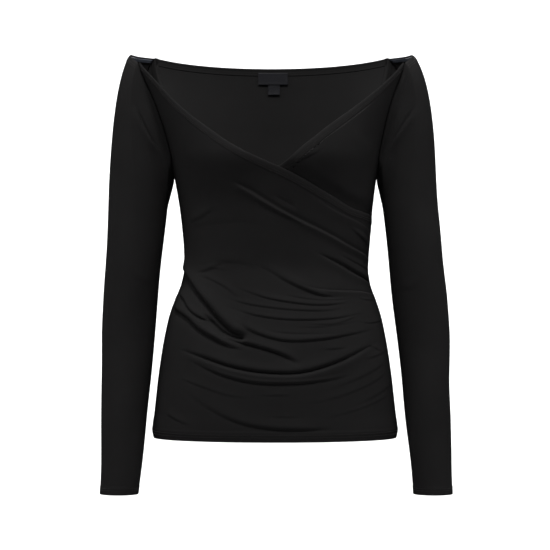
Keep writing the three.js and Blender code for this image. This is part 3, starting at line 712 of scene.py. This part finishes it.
def quads_between(numbers):
    """The quads between neighbours in a grid of numbers."""
    corners = [numbers[:-1, :-1], numbers[1:, :-1], numbers[1:, 1:], numbers[:-1, 1:]]
    return np.stack(corners, axis=-1).reshape(-1, 4)


def grid_piece(name, points, flat, outward, closed=False, wall=CLOTH_WALL):
    """Mesh piece of a grid of points: quads between neighbours, the last column joined to the
    first where it's closed, and laid flat for its pattern. A positive wall gives it thickness."""
    index, place = (np.arange(grid[..., 0].size).reshape(grid.shape[:2]) for grid in (points, flat))
    if closed:
        index = np.concatenate([index, index[:, :1]], axis=1)
    quads, spots = quads_between(index), quads_between(place)
    if face_in(points.reshape(-1, 3)[quads], outward.reshape(-1, 3)[quads[:, 0]]):
        quads, spots = quads[:, ::-1], spots[:, ::-1]
    mesh = smooth_mesh(name, points, quads.tolist())
    layer = mesh.uv_layers.new(name="cloth")
    layer.uv.foreach_set("vector", (flat.reshape(-1, 2)[spots.reshape(-1)] * MM).ravel())
    mesh.validate()
    piece = new_object(name, mesh)
    if wall:
        thickness = piece.modifiers.new("wall", "SOLIDIFY")
        thickness.thickness = wall * MM
        thickness.offset = -1
    return piece


def ripples(flat, from_seam, lowest, highest, reach):
    """Small gathers beside a seam: three waves down the seam whose heights die away from it."""
    down = flat[..., 1]
    waves = sum(share * np.sin(down / length + phase) for length, share, phase in GATHER_WAVES)
    started = smoothstep(down, lowest, lowest + GATHER_EASE)
    band = started * (1 - smoothstep(down, highest - GATHER_EASE, highest))
    return GATHER_HEIGHT * waves * band * np.exp(-from_seam / reach)


def drift(flat, start, full):
    """Slow unevenness of laid cloth: two crossed waves of different lengths, which set in between
    two depths below the origin."""
    x, z = flat[..., 0], flat[..., 1]
    waves = sum(share * np.sin(x / a + z / b + phase) for share, a, b, phase in DRIFT_WAVES)
    return DRIFT_HEIGHT * waves / 2 * smoothstep(-z, start, full)


def faded(folds, to_side):
    """Folds that fade towards a side seam, the rolls from further away than the creases."""
    rolls = np.maximum(folds, 0) * smoothstep(to_side, *ROLL_FADE)
    return rolls + np.minimum(folds, 0) * smoothstep(to_side, *CREASE_FADE)


def panel_piece(name, turn, z, flat, side, lift, dip, hem=True):
    """A panel of the body, with its points, laid-flat points and outward directions: the form's
    own points moved out by the lift, by the turned neck edge and hem, and by the dip at seams."""
    lift = lift + edge_lift(neck_distance(turn.shape), NECK_EDGE)
    if hem:
        lift += edge_lift(np.maximum(z - HEM_HEIGHT, 0), HEM_EDGE)
    form = torso_point(turn, z, side)
    outward = torso_normal(form, side)
    points = form + outward * (lift + dip)[..., None]
    points[..., 1] = side * np.maximum(side * points[..., 1], SEAM_GAP / 2)
    return grid_piece(name, points, flat, outward), points, flat, outward


def front_over_cloth():
    """The over front: folds laid from side seam to side seam, their creases kept shallow where
    the under front lies behind them, and a hem."""
    right = down_side(-front_seam[0], front_seam[1], -1, OVER_RIGHT_SIDE)
    left = down_side([], OVER_EDGE_END - NECK_ROWS, 1, OVER_LEFT_SIDE)
    turn, z = panel_grid(over_neck, right, left, OVER_COLUMNS)
    flat = laid_flat(turn, z)
    from_right, from_left = side_distances(flat)
    lapped = smoothstep(z, *(UNDER_FRONT_HEM - np.array(LAP_EASE)))
    deepest = -FREE_CREASE + (FREE_CREASE - LAPPED_CREASE) * lapped
    folds = np.maximum(fold_height(flat, OVER_FOLDS, unroll_torso), deepest)
    left_gathers = ripples(flat, from_left, *OVER_LEFT_GATHERS)
    folds += left_gathers + ripples(flat, from_right, *OVER_RIGHT_GATHERS)
    folds += drift(flat, *OVER_DRIFT)
    to_side = np.minimum(np.where(z < UNDERARM_HEIGHT, from_right, FAR), from_left)
    dip = seam_dip(from_right) + seam_dip(from_left)
    return panel_piece("over_front_cloth", turn, z, flat, -1, faded(folds, to_side), dip)


def front_under_cloth():
    """The under front: sunk below the over front past its neck edge, ending at the waist."""
    top = UNDER_EDGE_END - UNDER_EDGE_DROP * NECK_ROWS / NECK_ROWS[-1]
    right = down_side([], top, -1, UNDER_RIGHT_SIDE)
    left = down_side(front_seam[0], front_seam[1], 1, UNDER_LEFT_SIDE)
    turn, z = panel_grid(under_neck, right, left, UNDER_COLUMNS)
    flat = laid_flat(turn, z)
    above = z - over_neck(np.clip(turn, -seam_top, 1))
    sunk = -LAYER_DROP * (1 - smoothstep(above, *LAYER_EASE))
    folds = smoothstep(above, *OPEN_EASE) * fold_height(flat, UNDER_FOLDS, unroll_torso)
    dip = np.where(z > UNDERARM_HEIGHT, seam_dip(side_distances(flat)[1]), 0)
    return panel_piece("under_front_cloth", turn, z, flat, -1, sunk + folds, dip, hem=False)


def back_cloth():
    """The back: straight across the top, with soft folds from both side seams at the waist."""
    left = down_side(back_seam[0], back_seam[1], 1, BACK_SIDE)
    turn, z = panel_grid(back_neck, (-left[0], left[1]), left, BACK_COLUMNS)
    flat = laid_flat(turn, z)
    near_side = np.minimum(*side_distances(flat))
    folds = fold_height(flat, BACK_FOLDS, unroll_torso)
    folds += ripples(flat, near_side, *BACK_GATHERS) + drift(flat, *BACK_DRIFT)
    lift = faded(folds, np.where(z < UNDERARM_HEIGHT, near_side, FAR))
    return panel_piece("back_cloth", turn, z, flat, 1, lift, seam_dip(near_side))


def sleeve_stations(hand):
    """Stations round a sleeve's edge: up the front armhole seam, along the free top edge and down
    the back seam. Each has its point, the panel's outward direction (none on the free edge), its
    number round the arm and its turn in half turns from the underarm."""
    mirror = -1 if hand == "right" else 1
    points, normals, numbers = [], [], []
    for (turns, z, lengths), side in ((front_seam, -1), (back_seam, 1)):
        at = torso_point(mirror * turns, z, side)
        count_down = through_rows([(0, FREE_START), SEAM_BEND, (lengths[-1], 0)], 1)(lengths)
        points.append(at)
        normals.append(torso_normal(at, side))
        numbers.append(count_down if side < 0 else ARM_STATIONS - count_down)
    tops = [(mirror * out + lean(z), back, z) for out, back, z in SLEEVE_TOP_POINTS]
    free = smooth_route([points[0][0], *tops, points[1][0]], FREE_COLUMNS + 1)[1:-1]
    free_numbers = np.linspace(FREE_START, FREE_END, FREE_COLUMNS + 1)[1:-1]
    loop = np.concatenate([points[0][::-1], free, points[1][:-1]])
    normal = np.concatenate([normals[0][::-1], 0 * free, normals[1][:-1]])
    number = np.concatenate([numbers[0][::-1], free_numbers, numbers[1][:-1]])
    turn = np.interp(number, [0, FREE_START, FREE_END, ARM_STATIONS], STATION_TURNS)
    return loop, normal, number, turn


def sleeve_waves(z, number, phase):
    """Slow waves down an arm, which set in below its head and swing to and fro around it."""
    swing = SLEEVE_WAVE_SWING * np.sin(2 * np.pi * number / ARM_STATIONS + phase)
    return SLEEVE_WAVE * smoothstep(-z, *SLEEVE_WAVE_START) * np.sin(z / SLEEVE_WAVE_LENGTH + swing)


def sleeve_cloth(hand):
    """A sleeve: cubic cloth lines from its armhole and free top edge to the ring below the head,
    then rings down to the cuff that turn from the lines' own spacing to an even one. Its folds lie
    on its front and fade towards its edge and towards the arm's two sides."""
    mirror = -1 if hand == "right" else 1
    loop, normal, number, turn = sleeve_stations(hand)
    front_end, back_start = SEAM_ROWS - 1, SEAM_ROWS + FREE_COLUMNS - 1
    before, after = np.roll(loop, 1, axis=0), np.roll(loop, -1, axis=0)
    after[front_end], before[back_start] = loop[front_end], loop[back_start]
    along = unit(after - before)
    out, back, up = (through_rows(HEAD_DIRECTIONS, column)(turn) for column in (1, 2, 3))
    spread = LEFT_HEAD_SPREAD if hand == "left" else 1
    leave = unit(np.stack([mirror * out * spread, back, up], axis=-1))
    outward_edge = -mirror * unit(np.cross(along, leave))
    away = -mirror * unit(np.cross(normal, along))
    opening = np.arccos(np.clip((outward_edge * normal).sum(-1), -1, 1))[:, None] / 2
    on_seam = (np.abs(normal).sum(-1) > 0)[:, None]
    start = loop + on_seam * SEAM_GAP * (away * np.cos(opening) + normal * np.sin(opening))
    columns = (1, 2, 5, 6) if hand == "right" else (3, 4, 5, 6)
    inner_at, outer_at, half_at, middle_at = (through_rows(SLEEVE_RINGS, k) for k in columns)

    def ring(z):
        """Ellipse across the arm at a height, at the stations' turns or evenly spaced below."""
        inner, outer = inner_at(z), outer_at(z)
        share = smoothstep(z, EVEN_BELOW, HEAD_END)
        angle = np.pi * (2 * number / ARM_STATIONS * (1 - share) + turn * share)
        x = (inner + outer) / 2 - (outer - inner) / 2 * np.cos(angle)
        return np.stack([mirror * x, middle_at(z) - half_at(z) * np.sin(angle), z + 0 * x], axis=-1)

    end = ring(np.float64(HEAD_END))
    down = unit(ring(np.float64(HEAD_END - 10)) - end)
    reach = HEAD_FULLNESS * np.linalg.norm(end - start, axis=-1)[:, None]

    def head(t):
        """Cubic from the edge to the ring below the head, with both its directions given."""
        return hermite(t, start, leave * reach, end, down * reach)

    times = NECK_ROWS[:, None, None] / reach
    last_time = times[-1]
    rows = [head(t) for t in times]
    head_shares = (np.arange(1, HEAD_ROWS + 1) / HEAD_ROWS) ** HEAD_CROWDING
    rows += [head(last_time + (1 - last_time) * share) for share in head_shares]
    down_arm = np.linspace(HEAD_END, CUFF_HEIGHTS[0], ARM_ROWS)[1:]
    rows += [ring(z) for z in np.append(down_arm, CUFF_HEIGHTS[1:])]
    form = np.stack(rows)
    across = np.roll(form, -1, axis=1) - np.roll(form, 1, axis=1)
    downward = np.gradient(form, axis=0)
    outward = -mirror * unit(np.cross(across, downward))
    outward[0] = outward_edge
    girth = np.linalg.norm(np.roll(form, -1, axis=1) - form, axis=2).sum(1)
    from_edge = lengths_along(form)
    shares = np.append(number, ARM_STATIONS) / ARM_STATIONS
    flat_z = -from_edge.mean(1)[:, None] + 0 * shares
    flat = np.stack([shares[None, :] * girth[:, None], flat_z], axis=-1)

    half = ARM_STATIONS / 2
    z = form[..., 2]
    in_front = (number < half) & (number > 0)
    folds = fold_height(form[..., [0, 2]], SLEEVE_FOLDS[hand], lambda points: points)
    to_side = smoothstep(np.minimum(number, half - number), *SLEEVE_SIDE_FADE)
    lift = folds * in_front * to_side * smoothstep(from_edge, *SLEEVE_FADE)
    lift += sleeve_waves(z, number, mirror)
    edge = neck_distance(z.shape)
    free = (number > FREE_START) & (number < FREE_END)
    lift += np.where(free, edge_lift(edge, NECK_EDGE), seam_dip(edge))
    lift += edge_lift(np.maximum(z - CUFF_HEIGHT, 0), CUFF_EDGE)
    points = form + outward * lift[..., None]
    piece = grid_piece(f"{hand}_sleeve_cloth", points, flat, outward, closed=True)
    return piece, points, flat, outward


def stitch_row(name, path, outward):
    """A row of stitches: beads with a few sides at an equal pitch, each one's four rings set along
    the path's own direction, fuller in the middle and half sunk in the cloth."""
    lengths = lengths_along(path)
    count = int(lengths[-1] / STITCH_PITCH)
    middles = (np.arange(count) + 0.5) * lengths[-1] / count
    centre = picked(middles, lengths, path)
    ahead = unit(picked(middles + 0.5, lengths, path) - picked(middles - 0.5, lengths, path))
    up = unit(picked(middles, lengths, outward))
    side = np.cross(ahead, up)
    ring_at = np.array([-0.5, -0.3, 0.3, 0.5]) * STITCH_LENGTH
    ring_size = np.array([0.3, 1, 1, 0.3]) * STITCH_RADIUS
    ring = np.arange(STITCH_SIDES)
    angle = ring * 2 * np.pi / STITCH_SIDES
    sideways = ring_size[:, None] * np.cos(angle)
    upward = ring_size[:, None] * np.sin(angle) * STITCH_FLATNESS + STITCH_RADIUS / 4
    beads = (
        centre[:, None, None]
        + ahead[:, None, None] * ring_at[None, :, None, None]
        + side[:, None, None] * sideways[None, ..., None]
        + up[:, None, None] * upward[None, ..., None]
    )
    around = np.stack([ring, (ring + 1) % STITCH_SIDES], axis=-1)
    bands = [around + STITCH_SIDES * k for k in range(4)]
    walls = [np.concatenate([near, far[:, ::-1]], axis=1) for near, far in zip(bands, bands[1:])]
    first = np.arange(count)[:, None, None] * 4 * STITCH_SIDES
    quads = (first + np.concatenate(walls)[None]).reshape(-1, 4)
    caps = first + np.stack([ring[::-1], ring + 3 * STITCH_SIDES])[None]
    faces = quads.tolist() + caps.reshape(-1, STITCH_SIDES).tolist()
    mesh = smooth_mesh(name, beads, faces)
    corners = beads.reshape(-1, 3)[quads]
    if face_in(corners, corners.mean(1) - np.repeat(centre, 3 * STITCH_SIDES, axis=0)):
        mesh.flip_normals()
    return new_object(name, mesh)


def seam_tape(name, hand, panel, sleeve, stations):
    """The overlocked allowance behind an armhole seam: a ribbon from inside the sleeve, across the
    seam and onto the inside of the panel, carried one step past its lower end. The stations are
    the sleeve's columns down the seam, in step with the panel's rows."""
    inward = slice(0, ALLOWANCE_ROWS) if hand == "right" else slice(-1, -1 - ALLOWANCE_ROWS, -1)
    panel, _, panel_out = (grid[: len(stations), inward] for grid in panel)
    sleeve, sleeve_out = (
        grid[:ALLOWANCE_ROWS, stations].swapaxes(0, 1) for grid in (sleeve[0], sleeve[2])
    )
    depth = CLOTH_WALL + TURNING_GAP
    away = unit(panel_out[:, :1] + sleeve_out[:, :1])
    middle = (panel[:, :1] + sleeve[:, :1]) / 2 - away * (depth + ALLOWANCE_RIDGE)
    in_sleeve, on_panel = sleeve - sleeve_out * depth, panel - panel_out * depth
    band = np.concatenate([in_sleeve[:, :0:-1], middle, on_panel[:, 1:]], axis=1)
    outward = np.concatenate([sleeve_out[:, :0:-1], away, panel_out[:, 1:]], axis=1)
    band = np.concatenate([band, 2 * band[-1:] - band[-2:-1]])
    outward = np.concatenate([outward, outward[-1:]])
    across, down = lengths_along(band, 1).mean(0), lengths_along(band).mean(1)
    flat = np.stack(np.meshgrid(across, -down), axis=-1)
    return grid_piece(name, band, flat, outward, wall=TURNING_WALL)


def row_at(rows, distance):
    """Index of the row of cloth nearest to a distance from the edge."""
    return int(np.abs(rows - distance).argmin())


def inside_back(name, middle, width, top, bottom, curl):
    """A small piece on the inside of the back: the back's own form moved in, and bowed away
    from it towards its bottom by the square of the way down."""
    columns, rows = LABEL_GRID
    across = middle + width * np.linspace(-0.5, 0.5, columns)
    x, z = np.meshgrid(across, np.linspace(top, bottom, rows))
    form = torso_point(turn_at(x, z), z, 1)
    outward = torso_normal(form, 1)
    down = (top - z) / (top - bottom)
    depth = LABEL_DEPTH + curl * down**2
    flat = np.stack([x, z], axis=-1)
    return grid_piece(name, form - outward * depth[..., None], flat, outward, wall=LABEL_WALL)


def grip_tape(name, sleeve, first, last):
    """Elastic along a sleeve's free top edge: rows between two distances from the edge, carried
    inside the turned allowance."""
    near, far = row_at(NECK_ROWS, TAPE_START), row_at(NECK_ROWS, TAPE_START + TAPE_WIDTH)
    points, _, outward = (grid[near : far + 1, first:last] for grid in sleeve)
    band = points - outward * (CLOTH_WALL + 2 * TURNING_GAP + TURNING_WALL)
    across = lengths_along(band[0])
    flat = np.stack(np.meshgrid(across, -NECK_ROWS[near : far + 1]), axis=-1)
    return grid_piece(name, band, flat, outward, wall=TAPE_WALL)


def new_group(name, inputs, outputs):
    """An empty shader group with number inputs and outputs of the given names."""
    group = bpy.data.node_groups.new(name, "ShaderNodeTree")
    new_socket = group.interface.new_socket
    for name, value in inputs.items():
        socket = new_socket(name, in_out="INPUT", socket_type="NodeSocketFloat")
        socket.default_value = value
    for name in outputs:
        new_socket(name, in_out="OUTPUT", socket_type="NodeSocketFloat")
    return group, group.nodes.new("NodeGroupInput"), group.nodes.new("NodeGroupOutput")


def maths(tree, operation, *values):
    """A math node whose inputs are linked to sockets or set to numbers; gives its output."""
    node = tree.nodes.new("ShaderNodeMath")
    node.operation = operation
    for socket, value in zip(node.inputs, values):
        if isinstance(value, bpy.types.NodeSocket):
            tree.links.new(value, socket)
        else:
            socket.default_value = value
    return node.outputs[0]


def ribbing_group():
    """Knitted or woven relief on the laid-flat cloth: rounded ribs along the length, crossed by
    finer rows that lean with each rib. Spacings are in metres."""
    inputs = {"Rib Spacing": 0.0007, "Row Spacing": 0.0009, "Row Share": 0.4}
    group, given, result = new_group("cloth_ribbing", inputs, ["Height"])
    cloth = group.nodes.new("ShaderNodeUVMap")
    cloth.uv_map = "cloth"
    parts = group.nodes.new("ShaderNodeSeparateXYZ")
    group.links.new(cloth.outputs[0], parts.inputs[0])
    across = maths(group, "DIVIDE", parts.outputs[0], given.outputs["Rib Spacing"])
    rib = maths(group, "ABSOLUTE", maths(group, "SINE", maths(group, "MULTIPLY", across, np.pi)))
    down = maths(group, "DIVIDE", parts.outputs[1], given.outputs["Row Spacing"])
    leaning = maths(group, "MULTIPLY_ADD", rib, 0.5, down)
    row = maths(group, "SINE", maths(group, "MULTIPLY", leaning, 2 * np.pi))
    crossed = maths(group, "MULTIPLY", row, rib)
    height = maths(group, "MULTIPLY_ADD", crossed, given.outputs["Row Share"], rib)
    group.links.new(height, result.inputs["Height"])
    return group


def handling_group():
    """Slow unevenness of worn cloth: two sizes of noise, as a shade near one and as a height."""
    group, given, result = new_group("cloth_handling", {"Amount": 0.12}, ["Shade", "Height"])
    place = group.nodes.new("ShaderNodeTexCoord")
    slow, fine = group.nodes.new("ShaderNodeTexNoise"), group.nodes.new("ShaderNodeTexNoise")
    for noise, scale, detail in ((slow, 14, 3), (fine, 900, 2)):
        noise.inputs["Scale"].default_value = scale
        noise.inputs["Detail"].default_value = detail
        group.links.new(place.outputs["Object"], noise.inputs["Vector"])
    both = maths(group, "MULTIPLY_ADD", fine.outputs[0], 0.5, slow.outputs[0])
    centred = maths(group, "SUBTRACT", both, 0.75)
    shade = maths(group, "MULTIPLY_ADD", centred, given.outputs["Amount"], 1.0)
    group.links.new(shade, result.inputs["Shade"])
    group.links.new(fine.outputs[0], result.inputs["Height"])
    return group


ribbing, handling = ribbing_group(), handling_group()


# Depth of a cloth's relief, in metres, and the fibres' share beside its ribs.
RELIEF_DEPTH = 0.0002
FIBRE_SHARE = 0.6


def shaded_material(name, color, gloss, amount):
    """A material whose colour is multiplied by the handling's shade, with its tree, its shader
    and that shade. Gloss is the specular level, and amount is how uneven the shade is."""
    material = bpy.data.materials.new(name)
    material.use_nodes = True
    tree = material.node_tree
    shader = tree.nodes["Principled BSDF"]
    shader.inputs["Specular IOR Level"].default_value = gloss
    worn = tree.nodes.new("ShaderNodeGroup")
    worn.node_tree = handling
    worn.inputs["Amount"].default_value = amount
    tinted = tree.nodes.new("ShaderNodeVectorMath")
    tinted.operation = "SCALE"
    tinted.inputs[0].default_value = color
    tree.links.new(worn.outputs["Shade"], tinted.inputs["Scale"])
    tree.links.new(tinted.outputs[0], shader.inputs["Base Color"])
    return material, tree, shader, worn.outputs


def cloth_finish(name, color, gloss, amount, roughness, rib, row, relief):
    """A cloth: its uneven shade also scales its roughness, and its bump comes from its ribbing and
    its fibres. The spacings of its ribs and rows are in metres."""
    material, tree, shader, worn = shaded_material(name, color, gloss, amount)
    knit = tree.nodes.new("ShaderNodeGroup")
    knit.node_tree = ribbing
    knit.inputs["Rib Spacing"].default_value = rib
    knit.inputs["Row Spacing"].default_value = row
    rough = maths(tree, "MULTIPLY", worn["Shade"], roughness)
    tree.links.new(rough, shader.inputs["Roughness"])
    bump = tree.nodes.new("ShaderNodeBump")
    bump.inputs["Strength"].default_value = relief
    bump.inputs["Distance"].default_value = RELIEF_DEPTH
    height = maths(tree, "MULTIPLY_ADD", worn["Height"], FIBRE_SHARE, knit.outputs["Height"])
    tree.links.new(height, bump.inputs["Height"])
    tree.links.new(bump.outputs[0], shader.inputs["Normal"])
    return material


# Colour, specular level and unevenness, then roughness, rib and row spacings, and relief.
jersey = cloth_finish(
    "black_jersey", (0.0075, 0.0073, 0.0073), 0.0, 0.3, 0.5, 0.0007, 0.0009, 0.25
)
thread = cloth_finish("black_thread", (0.009, 0.008, 0.008), 0.05, 0.2, 0.5, 0.0004, 0.0006, 0.3)
woven = cloth_finish("label_satin", (0.006, 0.006, 0.007), 0.06, 0.15, 0.4, 0.0005, 0.0004, 0.4)
# The grip elastic's bluish tone is its own, but its lightness is partly a painted highlight that
# stands in for the glint on the silicone.
elastic = cloth_finish("grip_elastic_painted_glint", (0.036, 0.04, 0.05), 0.4, 0.1, 0.26, 0.0016, 0.0012, 0.5)


# The camera stands level with the middle of the photograph, 3 m in front of the origin. Its sensor
# is in millimetres, and the width that it frames at the origin in metres.
CAMERA_PLACE = (0, -3.0, -0.3094)
FRAME_WIDTH = 0.77
SENSOR = 36
camera_data = bpy.data.cameras.new("camera")
camera_data.sensor_width = SENSOR
camera_data.lens = SENSOR * -CAMERA_PLACE[1] / FRAME_WIDTH
camera = new_object("camera", camera_data)
camera.location = CAMERA_PLACE
camera.rotation_euler = (np.pi / 2, 0, 0)
bpy.context.scene.camera = camera


def area_light(name, place, target, size, watts):
    """A rectangular soft light at a place, turned towards its target."""
    data = bpy.data.lights.new(name, "AREA")
    data.shape = "RECTANGLE"
    data.size, data.size_y = size
    data.energy = watts
    light = new_object(name, data)
    light.location = place
    light.rotation_euler = (Vector(target) - Vector(place)).to_track_quat("-Z", "Y").to_euler()


# Lights: place and what they face, size across and along, all in metres, and power in watts.
LIGHTS = {
    "softbox_left": ((-1.6, -0.3, 1.1), (0, 0, -0.3), (0.8, 0.9), 28),
    "softbox_right": ((1.6, -0.3, 1.1), (0, 0, -0.3), (0.8, 0.9), 26),
    "front_above": ((0, -0.75, 1.1), (0, -0.05, -0.3), (0.34, 0.4), 32),
    "behind_above": ((0, 1.3, 1.5), (0, 0, -0.3), (1.2, 0.6), 14),
    "ceiling": ((0, -2, 6), (0, -2, 0), (11, 9), 1150),
    "backdrop_left": ((-2.7, 2.1, 0.4), (-0.3, 3.9, -0.6), (1.2, 1.4), 100),
    "backdrop_right": ((2.7, 2.1, 0.4), (0.3, 3.9, -0.6), (1.2, 1.4), 100),
}
for light_name, settings in LIGHTS.items():
    area_light(light_name, *settings)

AMBIENT_COLOR = (0.9, 0.92, 1, 1)
AMBIENT_STRENGTH = 0.2
world = bpy.data.worlds.new("studio")
world.use_nodes = True
background = world.node_tree.nodes["Background"]
background.inputs["Color"].default_value = AMBIENT_COLOR
background.inputs["Strength"].default_value = AMBIENT_STRENGTH
bpy.context.scene.world = world
bpy.context.scene.view_settings.view_transform = "Standard"

# The stage, in millimetres: floor, quarter circle and wall.
FLOOR_HEIGHT = -2600
SWEEP_RADIUS = 900
SWEEP_START = 3000
SWEEP_STEPS = 24
WALL_TOP = 4200
STAGE_HALF_WIDTH = 25000
PAPER_COLOR = (0.7, 0.7, 0.7)
PAPER_ROUGHNESS = 0.9


def studio_sweep():
    """Floor and backdrop in one: level floor, a quarter circle, then a wall, along X."""
    angle = np.linspace(0, np.pi / 2, SWEEP_STEPS)
    bend = SWEEP_START + SWEEP_RADIUS * np.sin(angle)
    y = np.concatenate([[-STAGE_HALF_WIDTH], bend, [SWEEP_START + SWEEP_RADIUS]])
    z = FLOOR_HEIGHT + np.concatenate([[0], SWEEP_RADIUS * (1 - np.cos(angle)), [WALL_TOP]])
    x = np.linspace(-STAGE_HALF_WIDTH, STAGE_HALF_WIDTH, 3)
    points = np.stack(np.broadcast_arrays(x[None, :], y[:, None], z[:, None]), axis=-1)
    outward = np.broadcast_to(np.array([0.0, -0.7, 0.7]), points.shape)
    return grid_piece("studio_sweep", points, points[..., :2], outward, wall=0)


sweep = studio_sweep()
paper, _, paper_shader, _ = shaded_material("pale_paper", PAPER_COLOR, 0.1, 0.02)
paper_shader.inputs["Roughness"].default_value = PAPER_ROUGHNESS
sweep.data.materials.append(paper)


def finish_piece(piece, material, slot, *nodes):
    """Gives a piece its material and body, and hides the solids that it stands for. The slot is not
    used.
    """
    piece.data.materials.append(material)
    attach(piece, "root")
    if nodes:
        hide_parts(*nodes)
    return piece


def sewn_edge(name, cloth, edge, columns=slice(None), closed=False, at_end=False):
    """The stitches in a turned edge and the allowance behind it, which is the edge's own rows of
    cloth moved in by the wall."""
    points, flat, outward = cloth
    rows, _, stitches, _ = edge
    pieces = []
    order = -1 - np.arange(len(rows)) if at_end else np.arange(len(rows))
    for number, distance in enumerate(stitches, 1):
        row = order[row_at(rows, distance)]
        path, up = points[row, columns], outward[row, columns]
        if closed:
            path, up = np.vstack([path, path[:1]]), np.vstack([up, up[:1]])
        stitched = stitch_row(f"{name}_stitches_{number}", path, up)
        pieces.append(finish_piece(stitched, thread, "jersey"))
    band = np.sort(order[1 : row_at(rows, stitches[-1]) + 3] % len(points))
    inside, out = points[band][:, columns], outward[band][:, columns]
    pattern = flat[band] if closed else flat[band][:, columns]
    inside = inside - out * (CLOTH_WALL + TURNING_GAP)
    fold = grid_piece(f"{name}_allowance", inside, pattern, out, closed, TURNING_WALL)
    return [*pieces, finish_piece(fold, jersey, "jersey")]


over, *over_cloth = front_over_cloth()
under, *under_cloth = front_under_cloth()
back, *back_panel_cloth = back_cloth()

over_sewing = sewn_edge("over_neck", over_cloth, NECK_EDGE)
over_sewing += sewn_edge("over_hem", over_cloth, HEM_EDGE, at_end=True)
under_sewing = sewn_edge("under_neck", under_cloth, NECK_EDGE)
back_sewing = sewn_edge("back_neck", back_panel_cloth, NECK_EDGE)
back_sewing += sewn_edge("back_hem", back_panel_cloth, HEM_EDGE, at_end=True)

label = inside_back("woven_label", **LABEL_PLACE, curl=0.5)
tab = inside_back("woven_tab", **TAB_PLACE, curl=0.9)
finish_piece(label, woven, "label", "neck_label")
finish_piece(tab, woven, "label", "size_tab")

finish_piece(over, jersey, "jersey", "front_over_panel")
finish_piece(under, jersey, "jersey", "front_under_panel")
finish_piece(back, jersey, "jersey", "back_panel")

free_edge = slice(SEAM_ROWS - 1, SEAM_ROWS + FREE_COLUMNS)
down_front = np.arange(SEAM_ROWS)[::-1]
down_back = np.append(np.arange(SEAM_ROWS - 1) + free_edge.stop - 1, 0)
for hand in ("right", "left"):
    cloth, *sleeve = sleeve_cloth(hand)
    finish_piece(cloth, jersey, "jersey", f"{hand}_sleeve")
    sewing = sewn_edge(f"{hand}_sleeve_top", sleeve, NECK_EDGE, free_edge)
    sewing += sewn_edge(f"{hand}_cuff", sleeve, CUFF_EDGE, closed=True, at_end=True)
    tape = grip_tape(f"{hand}_grip", sleeve, free_edge.start + 2, free_edge.stop - 1)
    finish_piece(tape, elastic, "grip", f"{hand}_grip_tape")
    front = over_cloth if hand == "right" else under_cloth
    runs = [("front", front, down_front), ("back", back_panel_cloth, down_back)]
    for place, panel, stations in runs:
        name = f"{hand}_{place}_seam_allowance"
        allowance = seam_tape(name, hand, panel, sleeve, stations)
        sewing.append(finish_piece(allowance, jersey, "jersey"))
